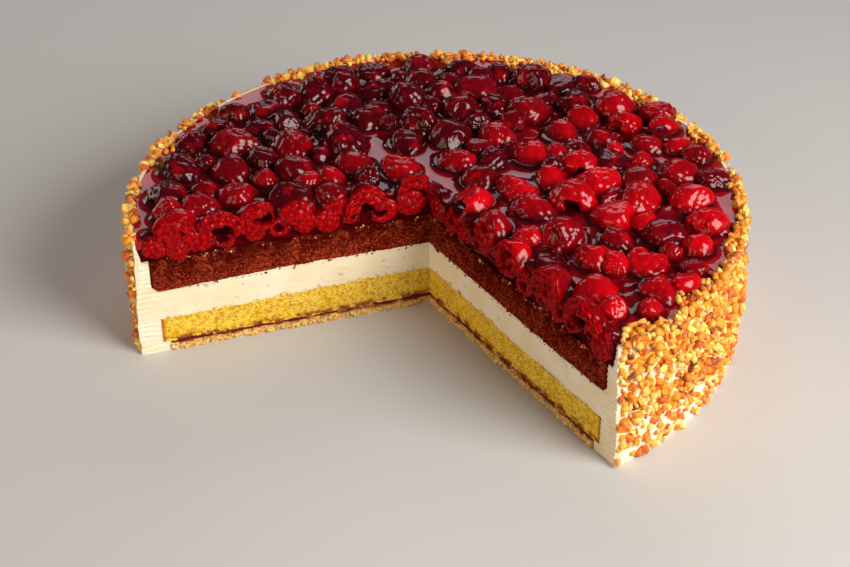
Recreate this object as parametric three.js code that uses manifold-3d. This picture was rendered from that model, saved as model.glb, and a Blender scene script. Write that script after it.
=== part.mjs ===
// A round raspberry cream cake with a wide wedge already cut away.
//
// From the bottom up: a thin shortcrust base, a film of jam, a vanilla sponge, whipped cream that
// also coats the side, a chocolate sponge, and raspberries set in a red jelly. Chopped roasted nuts
// stick to the cream side and lie along the jelly's rim.
//
// Units are millimetres and +Z is up. The origin is the centre of the full round, on the underside.

import * as THREE from "three";
import { mergeVertices } from "three/addons/utils/BufferGeometryUtils.js";
import Module from "manifold-3d";

const wasm = await Module();
wasm.setup();

// Driving dimensions of the round
const CAKE_RADIUS = 137.5; // cream side at the foot, without its nuts
const SIDE_TAPER = 2; // how far the cream side leans in towards its top
const SIDE_LIP = 2.6; // thickness of the cream edge that holds the jelly
const CRUST_RADIUS = 123.5;
const SPONGE_RADIUS = 127;
const CHOCOLATE_RADIUS = 129.5;
const CHOCOLATE_UNDERCUT = 2.5; // the chocolate sponge's lower edge is rounded off by this much

// Heights of the layers' upper faces
const CRUST_TOP = 3.7;
const JAM_TOP = 5.2;
const SPONGE_TOP = 18.4;
const CREAM_TOP = 33;
const CHOCOLATE_TOP = 48.2;
const JELLY_TOP = 59;
const LIP_TOP = 60.2;

const LAYER_GAP = 0.3; // clearance between neighbouring layers
const SETTLE = 1.4; // how far the layers between foot and top have settled up or down
const SETTLE_LENGTH = 38; // distance across the cake over which the settling changes
const SETTLE_RISE = 9; // height over which the settling changes

// The missing wedge: its point and the directions of its two cut faces
const CUT_APEX = new THREE.Vector2(-2.7, 1.8);
const CUT_START = THREE.MathUtils.degToRad(196.5);
const CUT_END = THREE.MathUtils.degToRad(302);
const CUT_REACH = 400;

// Raspberries
const BERRY_SEED = 61;
const BERRY_TRIES = 2600;
const BERRY_RADIUS_MAX = 10.6;
const BERRY_RADIUS_MIN = 6.6;
const BERRY_SIZE_CHANCE = 0.25; // share of the size range that is left to chance
const BERRY_STRETCH = 1.12; // length over width
const BERRY_SPACING = 0.86; // closest centres, as a share of the two radii
const BERRY_BEYOND_CUT = 0.3; // how far past a cut face a centre may lie, as a share of the radius
const BERRY_HEAP = 3; // how much higher the berries lie at the middle
const BERRY_LIFT = [-0.38, 0.12]; // centres above the jelly's level, as a share of the radius
const BERRY_TILT = [0.2, 0.82]; // lie of the axis in half turns: 0 is tip up, 0.5 is level
const BERRY_CLEARANCE = 1; // from the jelly's edge to the nearest berry
const BERRY_SIDES = 7;
const BERRY_BED = 6.5; // the berries' hidden undersides end this far below the jelly's level

// Chopped nuts
const NUT_SEED = 17;
const SIDE_NUTS = 84;
const RIM_NUTS = 24;
const NUT_RADIUS_MAX = 2.9;
const NUT_RADIUS_MIN = 1.9;
const NUT_SIZE_CHANCE = 0.4; // share of the size range that is left to chance
const NUT_FLATNESS = 0.72; // thickness over length
const NUT_NARROWING = 0.3; // how much narrower than long a nut can be
const NUT_PROUD = 0.25; // how far a nut's centre stands out, as a share of its radius
const NUT_CLEARANCE = 0.4; // from the jelly's edge to the nuts on its rim
const RIM_BAND = 4; // width of the band that the rim's nuts fell on

// Faceting
const ROUND_SEGMENTS = 42;
const RING_SPACING = 32;

const GOLDEN_SHARE = (Math.sqrt(5) - 1) / 2;

const { lerp } = THREE.MathUtils;

// A small repeatable random generator, giving numbers from 0 to 1.
function seeded(seed) {
  let state = seed;
  return () => {
    state = (state + 0x6d2b79f5) | 0;
    let mixed = Math.imul(state ^ (state >>> 15), 1 | state);
    mixed = (mixed + Math.imul(mixed ^ (mixed >>> 7), 61 | mixed)) ^ mixed;
    return ((mixed ^ (mixed >>> 14)) >>> 0) / 2 ** 32;
  };
}

// Joining and cutting

function solidOf(geometry) {
  const bare = new THREE.BufferGeometry();
  bare.setAttribute("position", geometry.getAttribute("position"));
  bare.setIndex(geometry.index);
  const merged = mergeVertices(bare, 1e-4);
  const corners = [];
  for (let i = 0; i < merged.index.count; i += 3) {
    const [a, b, c] = merged.index.array.slice(i, i + 3);
    if (a !== b && b !== c && c !== a) corners.push(a, b, c);
  }
  const vertProperties = new Float32Array(merged.getAttribute("position").array);
  return new wasm.Manifold(
    new wasm.Mesh({ numProp: 3, vertProperties, triVerts: new Uint32Array(corners) }),
  );
}

// The one outer body: hollows that fusing has sealed are filled and loose scraps are dropped.
function mainBody(solid) {
  const bodies = solid.decompose();
  return bodies.reduce((largest, body) => (body.volume() > largest.volume() ? body : largest));
}

function meshOf(name, solid, material) {
  const { vertProperties, triVerts } = mainBody(solid).getMesh();
  const geometry = new THREE.BufferGeometry();
  geometry.setAttribute("position", new THREE.BufferAttribute(vertProperties, 3));
  geometry.setIndex(new THREE.BufferAttribute(triVerts, 1));
  geometry.computeVertexNormals();
  const mesh = new THREE.Mesh(geometry, material);
  mesh.name = name;
  return mesh;
}

// Shapes of the layers

// How far a point of the stacked layers has settled. The foot and the poured top stay level.
function settled(x, y, z) {
  const share = Math.sin(Math.PI * THREE.MathUtils.clamp(z / JELLY_TOP, 0, 1));
  const across = Math.sin((x + y) / SETTLE_LENGTH + z / SETTLE_RISE);
  const along = Math.cos((y - x) / SETTLE_LENGTH);
  return (SETTLE * share * (across + along)) / 2;
}

// Splits a level run of a profile so that the settled face can bend along it.
function levelRun(fromRadius, toRadius, z) {
  const outward = toRadius > fromRadius;
  const [low, high] = outward ? [fromRadius, toRadius] : [toRadius, fromRadius];
  const radii = [low];
  for (let r = RING_SPACING; r < high - RING_SPACING / 3; r += RING_SPACING) {
    if (r > low) radii.push(r);
  }
  radii.push(high);
  if (!outward) radii.reverse();
  return radii.map((r) => new THREE.Vector2(r, z));
}

// A full turned layer from a profile of radius and height, settled into place.
function turned(profile) {
  const geometry = new THREE.LatheGeometry(profile, ROUND_SEGMENTS);
  geometry.rotateX(Math.PI / 2);
  const place = geometry.getAttribute("position");
  for (let i = 0; i < place.count; i++) {
    const [x, y, z] = [place.getX(i), place.getY(i), place.getZ(i)];
    place.setZ(i, z + settled(x, y, z));
  }
  return solidOf(geometry);
}

function missingWedge() {
  const along = (angle) =>
    new THREE.Vector2(Math.cos(angle), Math.sin(angle)).multiplyScalar(CUT_REACH).add(CUT_APEX);
  const outline = new THREE.Shape([CUT_APEX, along(CUT_START), along(CUT_END)]);
  const geometry = new THREE.ExtrudeGeometry(outline, { depth: CUT_REACH, bevelEnabled: false });
  geometry.translate(0, 0, -CUT_REACH / 2);
  return solidOf(geometry);
}

const wedge = missingWedge();

function shortcrustBase() {
  return turned([...levelRun(0, CRUST_RADIUS, 0), ...levelRun(CRUST_RADIUS, 0, CRUST_TOP)]);
}

function jamFilm() {
  const foot = CRUST_TOP + LAYER_GAP;
  return turned([...levelRun(0, CRUST_RADIUS, foot), ...levelRun(CRUST_RADIUS, 0, JAM_TOP)]);
}

function vanillaSponge() {
  const foot = JAM_TOP + LAYER_GAP;
  return turned([
    ...levelRun(0, CRUST_RADIUS, foot),
    new THREE.Vector2(SPONGE_RADIUS, foot),
    ...levelRun(SPONGE_RADIUS, 0, SPONGE_TOP),
  ]);
}

function chocolateSponge() {
  const foot = CREAM_TOP + LAYER_GAP;
  return turned([
    ...levelRun(0, CHOCOLATE_RADIUS - CHOCOLATE_UNDERCUT, foot),
    new THREE.Vector2(CHOCOLATE_RADIUS, foot + CHOCOLATE_UNDERCUT),
    ...levelRun(CHOCOLATE_RADIUS, 0, CHOCOLATE_TOP),
  ]);
}

const LIP_OUTER = CAKE_RADIUS - SIDE_TAPER;
const JELLY_RADIUS = LIP_OUTER - SIDE_LIP - LAYER_GAP;

function creamBody() {
  const spongeRecess = SPONGE_RADIUS + LAYER_GAP;
  const crustRecess = CRUST_RADIUS + LAYER_GAP;
  const chocolateRecess = CHOCOLATE_RADIUS + LAYER_GAP;
  const lipInner = LIP_OUTER - SIDE_LIP;
  return turned([
    ...levelRun(0, spongeRecess, SPONGE_TOP + LAYER_GAP),
    new THREE.Vector2(spongeRecess, JAM_TOP),
    new THREE.Vector2(crustRecess, JAM_TOP),
    new THREE.Vector2(crustRecess, 0),
    new THREE.Vector2(CAKE_RADIUS, 0),
    new THREE.Vector2(CAKE_RADIUS, CREAM_TOP / 2),
    new THREE.Vector2(LIP_OUTER, CHOCOLATE_TOP),
    new THREE.Vector2(LIP_OUTER, LIP_TOP),
    new THREE.Vector2(lipInner, LIP_TOP),
    new THREE.Vector2(lipInner, CHOCOLATE_TOP),
    new THREE.Vector2(chocolateRecess, CHOCOLATE_TOP),
    new THREE.Vector2(chocolateRecess, CREAM_TOP + CHOCOLATE_UNDERCUT),
    ...levelRun(chocolateRecess - CHOCOLATE_UNDERCUT, 0, CREAM_TOP),
  ]);
}

function jellyBody() {
  const foot = CHOCOLATE_TOP + LAYER_GAP;
  return turned([
    ...levelRun(0, CHOCOLATE_RADIUS, foot),
    new THREE.Vector2(JELLY_RADIUS, foot),
    ...levelRun(JELLY_RADIUS, 0, JELLY_TOP),
  ]);
}

// How deep a point lies inside the missing wedge, or how far outside it, as a negative number.
function depthInWedge(x, y) {
  const [dx, dy] = [x - CUT_APEX.x, y - CUT_APEX.y];
  const fromStart = Math.cos(CUT_START) * dy - Math.sin(CUT_START) * dx;
  const fromEnd = Math.sin(CUT_END) * dx - Math.cos(CUT_END) * dy;
  return Math.min(fromStart, fromEnd);
}

// Raspberries

// The berries' places: thrown at random, largest first, and kept only where there is room.
function scatteredBerries() {
  const random = seeded(BERRY_SEED);
  const berries = [];
  for (let attempt = 0; attempt < BERRY_TRIES; attempt++) {
    const [turn, reach, size, lift, tilt, heading, roll] = Array.from({ length: 7 }, random);
    const shrink = attempt / BERRY_TRIES;
    const small = lerp(shrink, size, BERRY_SIZE_CHANCE);
    const radius = lerp(BERRY_RADIUS_MAX, BERRY_RADIUS_MIN, small);
    const distance = Math.sqrt(reach) * (JELLY_RADIUS - BERRY_CLEARANCE - BERRY_STRETCH * radius);
    const x = distance * Math.cos(2 * Math.PI * turn);
    const y = distance * Math.sin(2 * Math.PI * turn);
    if (depthInWedge(x, y) > BERRY_BEYOND_CUT * radius) continue;
    const crowded = berries.some(
      (other) => Math.hypot(other.x - x, other.y - y) < BERRY_SPACING * (other.radius + radius),
    );
    if (crowded) continue;
    const heaped = BERRY_HEAP * (1 - (distance / JELLY_RADIUS) ** 2);
    const z = JELLY_TOP + heaped + radius * lerp(...BERRY_LIFT, lift);
    berries.push({ x, y, z, radius, tilt, heading, roll });
  }
  return berries;
}

// A raspberry as a low-sided thimble with a hollow at its open end, lying more or less on its side.
function berrySolid({ x, y, z, radius, tilt, heading, roll }) {
  const half = radius * BERRY_STRETCH;
  const thimble = [
    [0, -0.45 * half],
    [0.72 * radius, -0.88 * half],
    [radius, -0.1 * half],
    [0.66 * radius, 0.7 * half],
    [0, half],
  ];
  const geometry = new THREE.LatheGeometry(
    thimble.map(([r, along]) => new THREE.Vector2(r, along)),
    BERRY_SIDES,
  );
  geometry.rotateX(Math.PI / 2);
  geometry.rotateZ(2 * Math.PI * roll);
  geometry.rotateY(Math.PI * lerp(...BERRY_TILT, tilt));
  geometry.rotateZ(2 * Math.PI * heading);
  geometry.translate(x, y, z);
  const place = geometry.getAttribute("position");
  for (let i = 0; i < place.count; i++) {
    place.setZ(i, Math.max(place.getZ(i), JELLY_TOP - BERRY_BED));
  }
  return solidOf(geometry);
}

// Chopped nuts

// An angular chip with its own proportions and lie.
function nutSolid(random, radius, place) {
  const geometry = new THREE.IcosahedronGeometry(radius, 0);
  geometry.scale(1, 1 - NUT_NARROWING * random(), NUT_FLATNESS);
  geometry.applyQuaternion(
    new THREE.Quaternion().setFromEuler(
      new THREE.Euler(Math.PI * random(), Math.PI * random(), Math.PI * random()),
    ),
  );
  geometry.translate(place.x, place.y, place.z);
  return solidOf(geometry);
}

const KEPT_ARC = CUT_START + 2 * Math.PI - CUT_END;

function nutRadius(random, index, count) {
  return lerp(NUT_RADIUS_MAX, NUT_RADIUS_MIN, lerp(index / count, random(), NUT_SIZE_CHANCE));
}

// Nuts pressed into the cream side, spread evenly from foot to lip by the golden share.
function sideNuts() {
  const random = seeded(NUT_SEED);
  return Array.from({ length: SIDE_NUTS }, (_, index) => {
    const radius = nutRadius(random, index, SIDE_NUTS);
    const angle = CUT_END + KEPT_ARC * ((index + 0.5) / SIDE_NUTS);
    const rise = (index * GOLDEN_SHARE) % 1;
    const z = lerp(NUT_RADIUS_MAX + NUT_CLEARANCE, LIP_TOP, rise);
    const lean = SIDE_TAPER * THREE.MathUtils.smoothstep(z, CREAM_TOP / 2, CHOCOLATE_TOP);
    const out = CAKE_RADIUS - lean + NUT_PROUD * radius;
    return nutSolid(random, radius, { x: out * Math.cos(angle), y: out * Math.sin(angle), z });
  });
}

// Nuts that fell onto the jelly's rim, kept clear of the berries there.
function rimNuts(berries) {
  const random = seeded(NUT_SEED + 1);
  const nuts = [];
  for (let index = 0; index < RIM_NUTS; index++) {
    const radius = nutRadius(random, index, RIM_NUTS);
    const angle = CUT_END + KEPT_ARC * ((index + 0.5) / RIM_NUTS);
    const out = JELLY_RADIUS - NUT_RADIUS_MAX - NUT_CLEARANCE - RIM_BAND * random();
    const z = JELLY_TOP + NUT_PROUD * radius;
    const place = { x: out * Math.cos(angle), y: out * Math.sin(angle), z };
    const nut = nutSolid(random, radius, place);
    const onBerry = berries.some(
      (berry) => Math.hypot(berry.x - place.x, berry.y - place.y) < berry.radius,
    );
    if (!onBerry) nuts.push(nut);
  }
  return nuts;
}

function fused(core, pieces) {
  return pieces.reduce((whole, piece) => whole.add(piece), core);
}

// Finishes

const finish = (color, roughness) => new THREE.MeshStandardMaterial({ color, roughness, metalness: 0 });
const crustFinish = finish(0xd9a860, 0.9);
const jamFinish = finish(0x6a0d10, 0.35);
const spongeFinish = finish(0xd2ac34, 0.9);
const creamFinish = finish(0xf0e4c6, 0.7);
const chocolateFinish = finish(0x4a130d, 0.9);
const toppingFinish = finish(0xa00a18, 0.15);

// The cake

const berries = scatteredBerries();
const topping = fused(fused(jellyBody(), berries.map(berrySolid)), rimNuts(berries));
const coatedCream = fused(creamBody(), sideNuts());

const cake = new THREE.Group();
cake.add(
  meshOf("shortcrust_base", shortcrustBase().subtract(wedge), crustFinish),
  meshOf("raspberry_jam", jamFilm().subtract(wedge), jamFinish),
  meshOf("vanilla_sponge", vanillaSponge().subtract(wedge), spongeFinish),
  meshOf("whipped_cream", coatedCream.subtract(wedge), creamFinish),
  meshOf("chocolate_sponge", chocolateSponge().subtract(wedge), chocolateFinish),
  meshOf("raspberry_topping", topping.subtract(wedge), toppingFinish),
);

export default cake;
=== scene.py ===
# %% [markdown]
# # A raspberry cream cake, cut open
#
# The frame gives six plain solids: shortcrust, jam, vanilla sponge, cream, chocolate sponge and a red
# topping. This lesson dresses them. Each layer gets a fine cut face with crumb or knife marks, the jelly
# lies in pools between the fruit, and berries, nuts and crumbs are modelled a few times and laid down
# many times.

# %% Load the frame
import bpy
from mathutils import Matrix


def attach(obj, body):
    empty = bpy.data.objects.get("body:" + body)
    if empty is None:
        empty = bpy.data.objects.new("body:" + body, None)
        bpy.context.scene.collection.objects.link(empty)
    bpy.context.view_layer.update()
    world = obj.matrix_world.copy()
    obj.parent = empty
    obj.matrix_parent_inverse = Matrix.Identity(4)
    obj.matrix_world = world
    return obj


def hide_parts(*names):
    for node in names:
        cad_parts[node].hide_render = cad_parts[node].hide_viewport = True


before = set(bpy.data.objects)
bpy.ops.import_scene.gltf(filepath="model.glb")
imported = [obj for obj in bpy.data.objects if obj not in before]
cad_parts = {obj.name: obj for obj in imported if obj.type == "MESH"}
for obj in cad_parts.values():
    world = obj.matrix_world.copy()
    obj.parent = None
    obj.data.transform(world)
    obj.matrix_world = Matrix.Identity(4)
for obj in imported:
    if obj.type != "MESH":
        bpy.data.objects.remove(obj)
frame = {"nodes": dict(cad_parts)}
print("solids in the frame:", ", ".join(frame["nodes"]))

# %% Tools and the frame's own box
import math

import bmesh
import bpy
import numpy as np
from mathutils import Matrix, Quaternion, Vector, noise
from mathutils.bvhtree import BVHTree

MM = 0.001
FULL_TURN = 2 * math.pi
nodes = frame["nodes"]
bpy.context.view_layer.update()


# %% [markdown]
# ## Reading the cut from the frame
#
# The missing wedge has two flat faces. They are the largest upright faces of any layer, so they can be
# found by adding up face areas by direction. Everything below is then measured from the point where the
# two faces meet, and a place on the cake is given by a distance from that point and a turn from the
# right-hand cut.

# %% The two cut faces and the point where they meet
UPRIGHT = 0.02


def upright_cuts(node):
    """The two largest flat upright faces of a node, each as a face of its mesh."""
    area, largest = {}, {}
    for face in nodes[node].data.polygons:
        if abs(face.normal.z) > UPRIGHT:
            continue
        facing = (round(face.normal.x, 2), round(face.normal.y, 2))
        area[facing] = area.get(facing, 0) + face.area
        if facing not in largest or face.area > largest[facing].area:
            largest[facing] = face
    return [largest[facing] for facing in sorted(area, key=area.get)[-2:]]


cut_faces = upright_cuts("chocolate_sponge")
cut_normals = np.array([face.normal.xy[:] for face in cut_faces])
cut_offsets = np.array([face.normal.xy.dot(face.center.xy) / MM for face in cut_faces])
CUT_POINT = np.linalg.solve(cut_normals, cut_offsets)


def cut_line(face):
    """The direction along a cut, away from its point, and the direction out of it into the gap."""
    out = np.array(face.normal.xy.normalized()[:])
    along = np.array([-out[1], out[0]])
    if along @ (np.array(face.center.xy[:]) / MM - CUT_POINT) < 0:
        along = -along
    return along, out


right_cut, left_cut = sorted((cut_line(face) for face in cut_faces), key=lambda cut: -cut[0][0])
RIGHT_ANGLE = math.atan2(right_cut[0][1], right_cut[0][0])
KEPT_TURN = (math.atan2(left_cut[0][1], left_cut[0][0]) - RIGHT_ANGLE) % FULL_TURN
print("cut point in mm:", CUT_POINT.round(2), "kept turn in degrees:", round(math.degrees(KEPT_TURN), 1))

# %% Places as a distance and a turn
BEFORE_CUT = 1.0


def spread_from_cut(x, y):
    """Distance from the cut's point, and turn from the right-hand cut, negative just before it."""
    dx, dy = x - CUT_POINT[0], y - CUT_POINT[1]
    turn = (np.arctan2(dy, dx) - RIGHT_ANGLE + BEFORE_CUT) % FULL_TURN - BEFORE_CUT
    return np.hypot(dx, dy), turn


def reach(turn, radius):
    """Distance from the cut's point to a circle of that radius about the cake's axis."""
    angle = RIGHT_ANGLE + np.asarray(turn)
    along = CUT_POINT[0] * np.cos(angle) + CUT_POINT[1] * np.sin(angle)
    return -along + np.sqrt(along**2 - CUT_POINT @ CUT_POINT + radius**2)


def smooth_step(low, high, value):
    """A soft change from 0 at low to 1 at high."""
    share = np.clip((value - low) / (high - low), 0, 1)
    return share * share * (3 - 2 * share)


print("a circle of 100 mm lies", round(float(reach(0, 100)), 1), "mm along the right-hand cut")

# %% [markdown]
# ## Reading the settled layers
#
# The layers of the frame are not level: they have settled a little, as in a real cake. Rays shot down and
# up at each layer give the height of every seam on a round grid of places. The new pieces are modelled on
# flat seams first, which is easy, and then moved to the measured ones.

# %% Seam heights on a round grid
LAYER_GAP = 0.3
CUT_MARGIN = 0.03
TABLE_TURNS = np.linspace(CUT_MARGIN, KEPT_TURN - CUT_MARGIN, 49)
TABLE_REACHES = np.linspace(6, 116, 12)


def seam_heights(node, from_above):
    """Heights of a node's upper or lower face over the round grid, in millimetres."""
    mesh = nodes[node].data
    tree = BVHTree.FromPolygons([v.co for v in mesh.vertices], [tuple(p.vertices) for p in mesh.polygons])
    side = 1 if from_above else -1
    heights = np.empty((len(TABLE_TURNS), len(TABLE_REACHES)))
    for row, turn in enumerate(TABLE_TURNS):
        facing = np.array([math.cos(RIGHT_ANGLE + turn), math.sin(RIGHT_ANGLE + turn)])
        for column, distance in enumerate(TABLE_REACHES):
            x, y = (CUT_POINT + distance * facing) * MM
            hit = tree.ray_cast(Vector((x, y, side)), Vector((0, 0, -side)))[0]
            heights[row, column] = hit.z / MM
    return heights + side * LAYER_GAP / 2


seam_tables = {
    "crust": seam_heights("shortcrust_base", True),
    "jam": seam_heights("raspberry_jam", True),
    "vanilla": seam_heights("vanilla_sponge", True),
    "cream": seam_heights("chocolate_sponge", False),
    "chocolate": seam_heights("chocolate_sponge", True),
}
FLAT = {name: float(table.mean()) for name, table in seam_tables.items()}
JELLY_LEVEL = 59.0
print("flat seams in mm:", {name: round(height, 2) for name, height in FLAT.items()})

# %% Unevenness for seams and surfaces
NOISE_SHIFT = (17.3, 5.1, 9.7)


def unevenness(x, y, z, length, seed):
    """Smooth random numbers from about -1 to 1 that change over that length."""
    shift = Vector([step * seed for step in NOISE_SHIFT])
    places = np.stack([x, y, np.broadcast_to(z, x.shape)], axis=1) / length
    return np.array([noise.noise(Vector(place) + shift) for place in places])


def waves(x, y, z, sizes, seed=0):
    """A sum of unevennesses, each given by its height, its length and its first seed."""
    return sum(height * unevenness(x, y, z, length, first + seed) for height, length, first in sizes)


trial_line = np.linspace(0, 100, 200)
trial_waves = unevenness(trial_line, 0 * trial_line, 0, length=8, seed=1)
print("unevenness from", round(trial_waves.min(), 2), "to", round(trial_waves.max(), 2))

# %% From flat seams to settled ones
SEAM_WOBBLE = {"crust": 0.45, "jam": 0.8, "vanilla": 0.6, "cream": 0.5, "chocolate": 0.6}
SEAM_WAVES = ((1.0, 8.0, 1), (0.45, 2.4, 11))
LAST_CELL = 1.001


def table_value(table, x, y):
    """A seam's height at any place, between the grid's own places."""
    distance, turn = spread_from_cut(x, y)
    row = np.interp(turn, TABLE_TURNS, np.arange(len(TABLE_TURNS)))
    row = np.clip(row, 0, len(TABLE_TURNS) - LAST_CELL)
    column = np.interp(distance, TABLE_REACHES, np.arange(len(TABLE_REACHES)))
    column = np.clip(column, 0, len(TABLE_REACHES) - LAST_CELL)
    i, j = row.astype(int), column.astype(int)
    u, v = row - i, column - j
    near = table[i, j] * (1 - v) + table[i, j + 1] * v
    far = table[i + 1, j] * (1 - v) + table[i + 1, j + 1] * v
    return near * (1 - u) + far * u


def settled(x, y, z):
    """Heights of the flat stack, moved to where the settled layers have them."""
    flat, measured = [0.0], [np.zeros(len(x))]
    for seed, (name, table) in enumerate(seam_tables.items()):
        flat.append(FLAT[name])
        measured.append(table_value(table, x, y) + SEAM_WOBBLE[name] * waves(x, y, 0, SEAM_WAVES, seed))
    flat.append(JELLY_LEVEL)
    measured.append(np.full(len(x), JELLY_LEVEL))
    moved = z.copy()
    for low, high, low_now, high_now in zip(flat, flat[1:], measured, measured[1:]):
        inside = (z >= low) & (z <= high)
        share = (z - low) / (high - low)
        moved = np.where(inside, low_now + (high_now - low_now) * share, moved)
    return moved


trial_height = settled(np.array([0.0]), np.array([60.0]), np.array([FLAT["cream"]]))
print("the cream's flat top of", round(FLAT["cream"], 2), "mm settles to", trial_height.round(2))

# %% [markdown]
# ## A layer by grid and spin
#
# A layer could be a cylinder with a wedge cut out by a Boolean, but its cut faces would then be two large
# flat polygons with nothing to shape. Here a fine grid stands in the right-hand cut face and is spun
# round to the left-hand one. Both cut faces keep the grid, and the swept faces close the body. Level
# faces that no one sees are replaced by one large face each, which saves many thousands of triangles.

# %% Reading, writing and selecting parts of a mesh
SAME_LEVEL = 0.01


def mesh_places(piece):
    """Places of a piece's vertices, in millimetres."""
    places = np.empty(len(piece.data.vertices) * 3)
    piece.data.vertices.foreach_get("co", places)
    return places.reshape(-1, 3) / MM


def place_mesh(piece, places):
    """Moves a piece's vertices to these places, given in millimetres."""
    piece.data.vertices.foreach_set("co", (places * MM).ravel())
    piece.data.update()


def level_edges(piece, height):
    """Which edges of a piece lie level at that height."""
    ends = np.empty(len(piece.data.edges) * 2, dtype=np.int32)
    piece.data.edges.foreach_get("vertices", ends)
    heights = mesh_places(piece)[ends.reshape(-1, 2), 2]
    return abs(heights - height).max(axis=1) < SAME_LEVEL


def picked_edges(piece):
    """Which edges of a piece are selected."""
    picked = np.empty(len(piece.data.edges), dtype=bool)
    piece.data.edges.foreach_get("select", picked)
    return picked


def pick(piece, kind, chosen):
    """Opens a piece in edit mode with just these faces or edges selected."""
    bpy.ops.object.mode_set(mode="EDIT")
    bpy.ops.mesh.select_mode(type=kind)
    bpy.ops.mesh.select_all(action="DESELECT")
    bpy.ops.object.mode_set(mode="OBJECT")
    parts = piece.data.polygons if kind == "FACE" else piece.data.edges
    parts.foreach_set("select", chosen)
    bpy.ops.object.mode_set(mode="EDIT")


print("vertices of the chocolate solid:", len(mesh_places(nodes["chocolate_sponge"])))

# %% A grid in the right-hand cut face
INNER_CIRCLE = 30


def lines(*stops, spacing):
    """Lines about that far apart that pass through each of the stops."""
    runs = [
        np.linspace(start, end, max(1, round((end - start) / spacing)) + 1)[:-1]
        for start, end in zip(stops, stops[1:])
    ]
    return np.concatenate(runs + [stops[-1:]])


def upright_grid(name, radii, heights):
    """A grid in the right-hand cut face, with its lines at those radii and heights."""
    bpy.ops.object.select_all(action="DESELECT")
    columns, rows = len(radii) - 1, len(heights) - 1
    bpy.ops.mesh.primitive_grid_add(x_subdivisions=columns, y_subdivisions=rows, size=1)
    grid = bpy.context.object
    grid.name = grid.data.name = name
    unit = mesh_places(grid) * MM + 0.5
    inner = radii * reach(0, INNER_CIRCLE) / INNER_CIRCLE
    distance = np.where(radii > INNER_CIRCLE, reach(0, np.maximum(radii, INNER_CIRCLE)), inner)
    out = distance[np.rint(unit[:, 0] * columns).astype(int)]
    up = heights[np.rint(unit[:, 1] * rows).astype(int)]
    along = right_cut[0]
    place_mesh(grid, np.stack([CUT_POINT[0] + out * along[0], CUT_POINT[1] + out * along[1], up], axis=1))
    return grid


print("lines over 10 mm, about 3 mm apart:", lines(0.0, 10.0, spacing=3.0).round(1).tolist())

# %% Spinning the outline round
SAME_PLACE = 0.001 * MM
SWEEP = {
    "angle": -KEPT_TURN,
    "center": (CUT_POINT[0] * MM, CUT_POINT[1] * MM, 0),
    "axis": (0, 0, 1),
}


def spin_outline(layer, steps, hidden):
    """Spins a grid's outline to the left-hand cut, but no hidden level lines, and copies the grid there."""
    cells = len(layer.data.polygons)
    bpy.ops.object.mode_set(mode="EDIT")
    bpy.ops.mesh.select_mode(type="EDGE")
    bpy.ops.mesh.select_all(action="SELECT")
    bpy.ops.mesh.region_to_loop()
    bpy.ops.object.mode_set(mode="OBJECT")
    outline = picked_edges(layer)
    for height in hidden:
        outline &= ~level_edges(layer, height)
    pick(layer, "EDGE", outline)
    bpy.ops.mesh.spin(steps=steps, **SWEEP)
    bpy.ops.object.mode_set(mode="OBJECT")
    pick(layer, "FACE", np.arange(len(layer.data.polygons)) < cells)
    bpy.ops.mesh.spin(steps=1, dupli=True, **SWEEP)
    bpy.ops.mesh.select_mode(type="EDGE")
    bpy.ops.mesh.select_all(action="SELECT")
    bpy.ops.mesh.remove_doubles(threshold=SAME_PLACE)
    bpy.ops.object.mode_set(mode="OBJECT")


def close_level(layer, height):
    """Closes the opening at that height with one large face."""
    bpy.ops.object.mode_set(mode="EDIT")
    bpy.ops.mesh.select_all(action="DESELECT")
    bpy.ops.mesh.select_non_manifold(
        extend=False, use_wire=False, use_multi_face=False, use_non_contiguous=False, use_verts=False
    )
    bpy.ops.object.mode_set(mode="OBJECT")
    pick(layer, "EDGE", picked_edges(layer) & level_edges(layer, height))
    bpy.ops.mesh.edge_face_add()
    bpy.ops.object.mode_set(mode="OBJECT")


print("each spin turns by", round(math.degrees(KEPT_TURN), 1), "degrees about the cut's point")

# %% The layer maker
ROUNDED_BETWEEN = (10, 70)
SMALLEST_CIRCLE = 5
LAYER_STEPS = 64


def round_off(piece):
    """Moves the spun circles from about the cut's point to about the cake's axis."""
    places = mesh_places(piece)
    distance, turn = spread_from_cut(places[:, 0], places[:, 1])
    start = CUT_POINT + distance[:, None] * right_cut[0]
    target = reach(turn, np.maximum(np.hypot(start[:, 0], start[:, 1]), SMALLEST_CIRCLE))
    distance = distance + (target - distance) * smooth_step(*ROUNDED_BETWEEN, distance)
    angle = RIGHT_ANGLE + turn
    places[:, 0] = CUT_POINT[0] + distance * np.cos(angle)
    places[:, 1] = CUT_POINT[1] + distance * np.sin(angle)
    place_mesh(piece, places)


def swept_layer(name, radii, heights, steps, hidden, kept=None):
    """A closed layer between the two cuts; kept() says which cells of the grid belong to its section."""
    layer = upright_grid(name, radii, heights)
    if kept:
        centres = np.array([face.center[:] for face in layer.data.polygons]) / MM
        pick(layer, "FACE", ~kept(np.hypot(centres[:, 0], centres[:, 1]), centres[:, 2]))
        bpy.ops.mesh.delete(type="FACE")
        bpy.ops.object.mode_set(mode="OBJECT")
    spin_outline(layer, steps, hidden)
    for height in hidden:
        close_level(layer, height)
    bpy.ops.object.mode_set(mode="EDIT")
    bpy.ops.mesh.select_all(action="SELECT")
    bpy.ops.mesh.normals_make_consistent(inside=False)
    bpy.ops.object.mode_set(mode="OBJECT")
    round_off(layer)
    print(name, "has", len(layer.data.polygons), "faces")
    return layer


def level_layer(name, radius, low, high, across, up):
    """A layer between two flat heights, with both of its level faces hidden."""
    radii, heights = lines(0.0, radius, spacing=across), lines(low, high, spacing=up)
    return swept_layer(name, radii, heights, LAYER_STEPS, [low, high])


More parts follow.
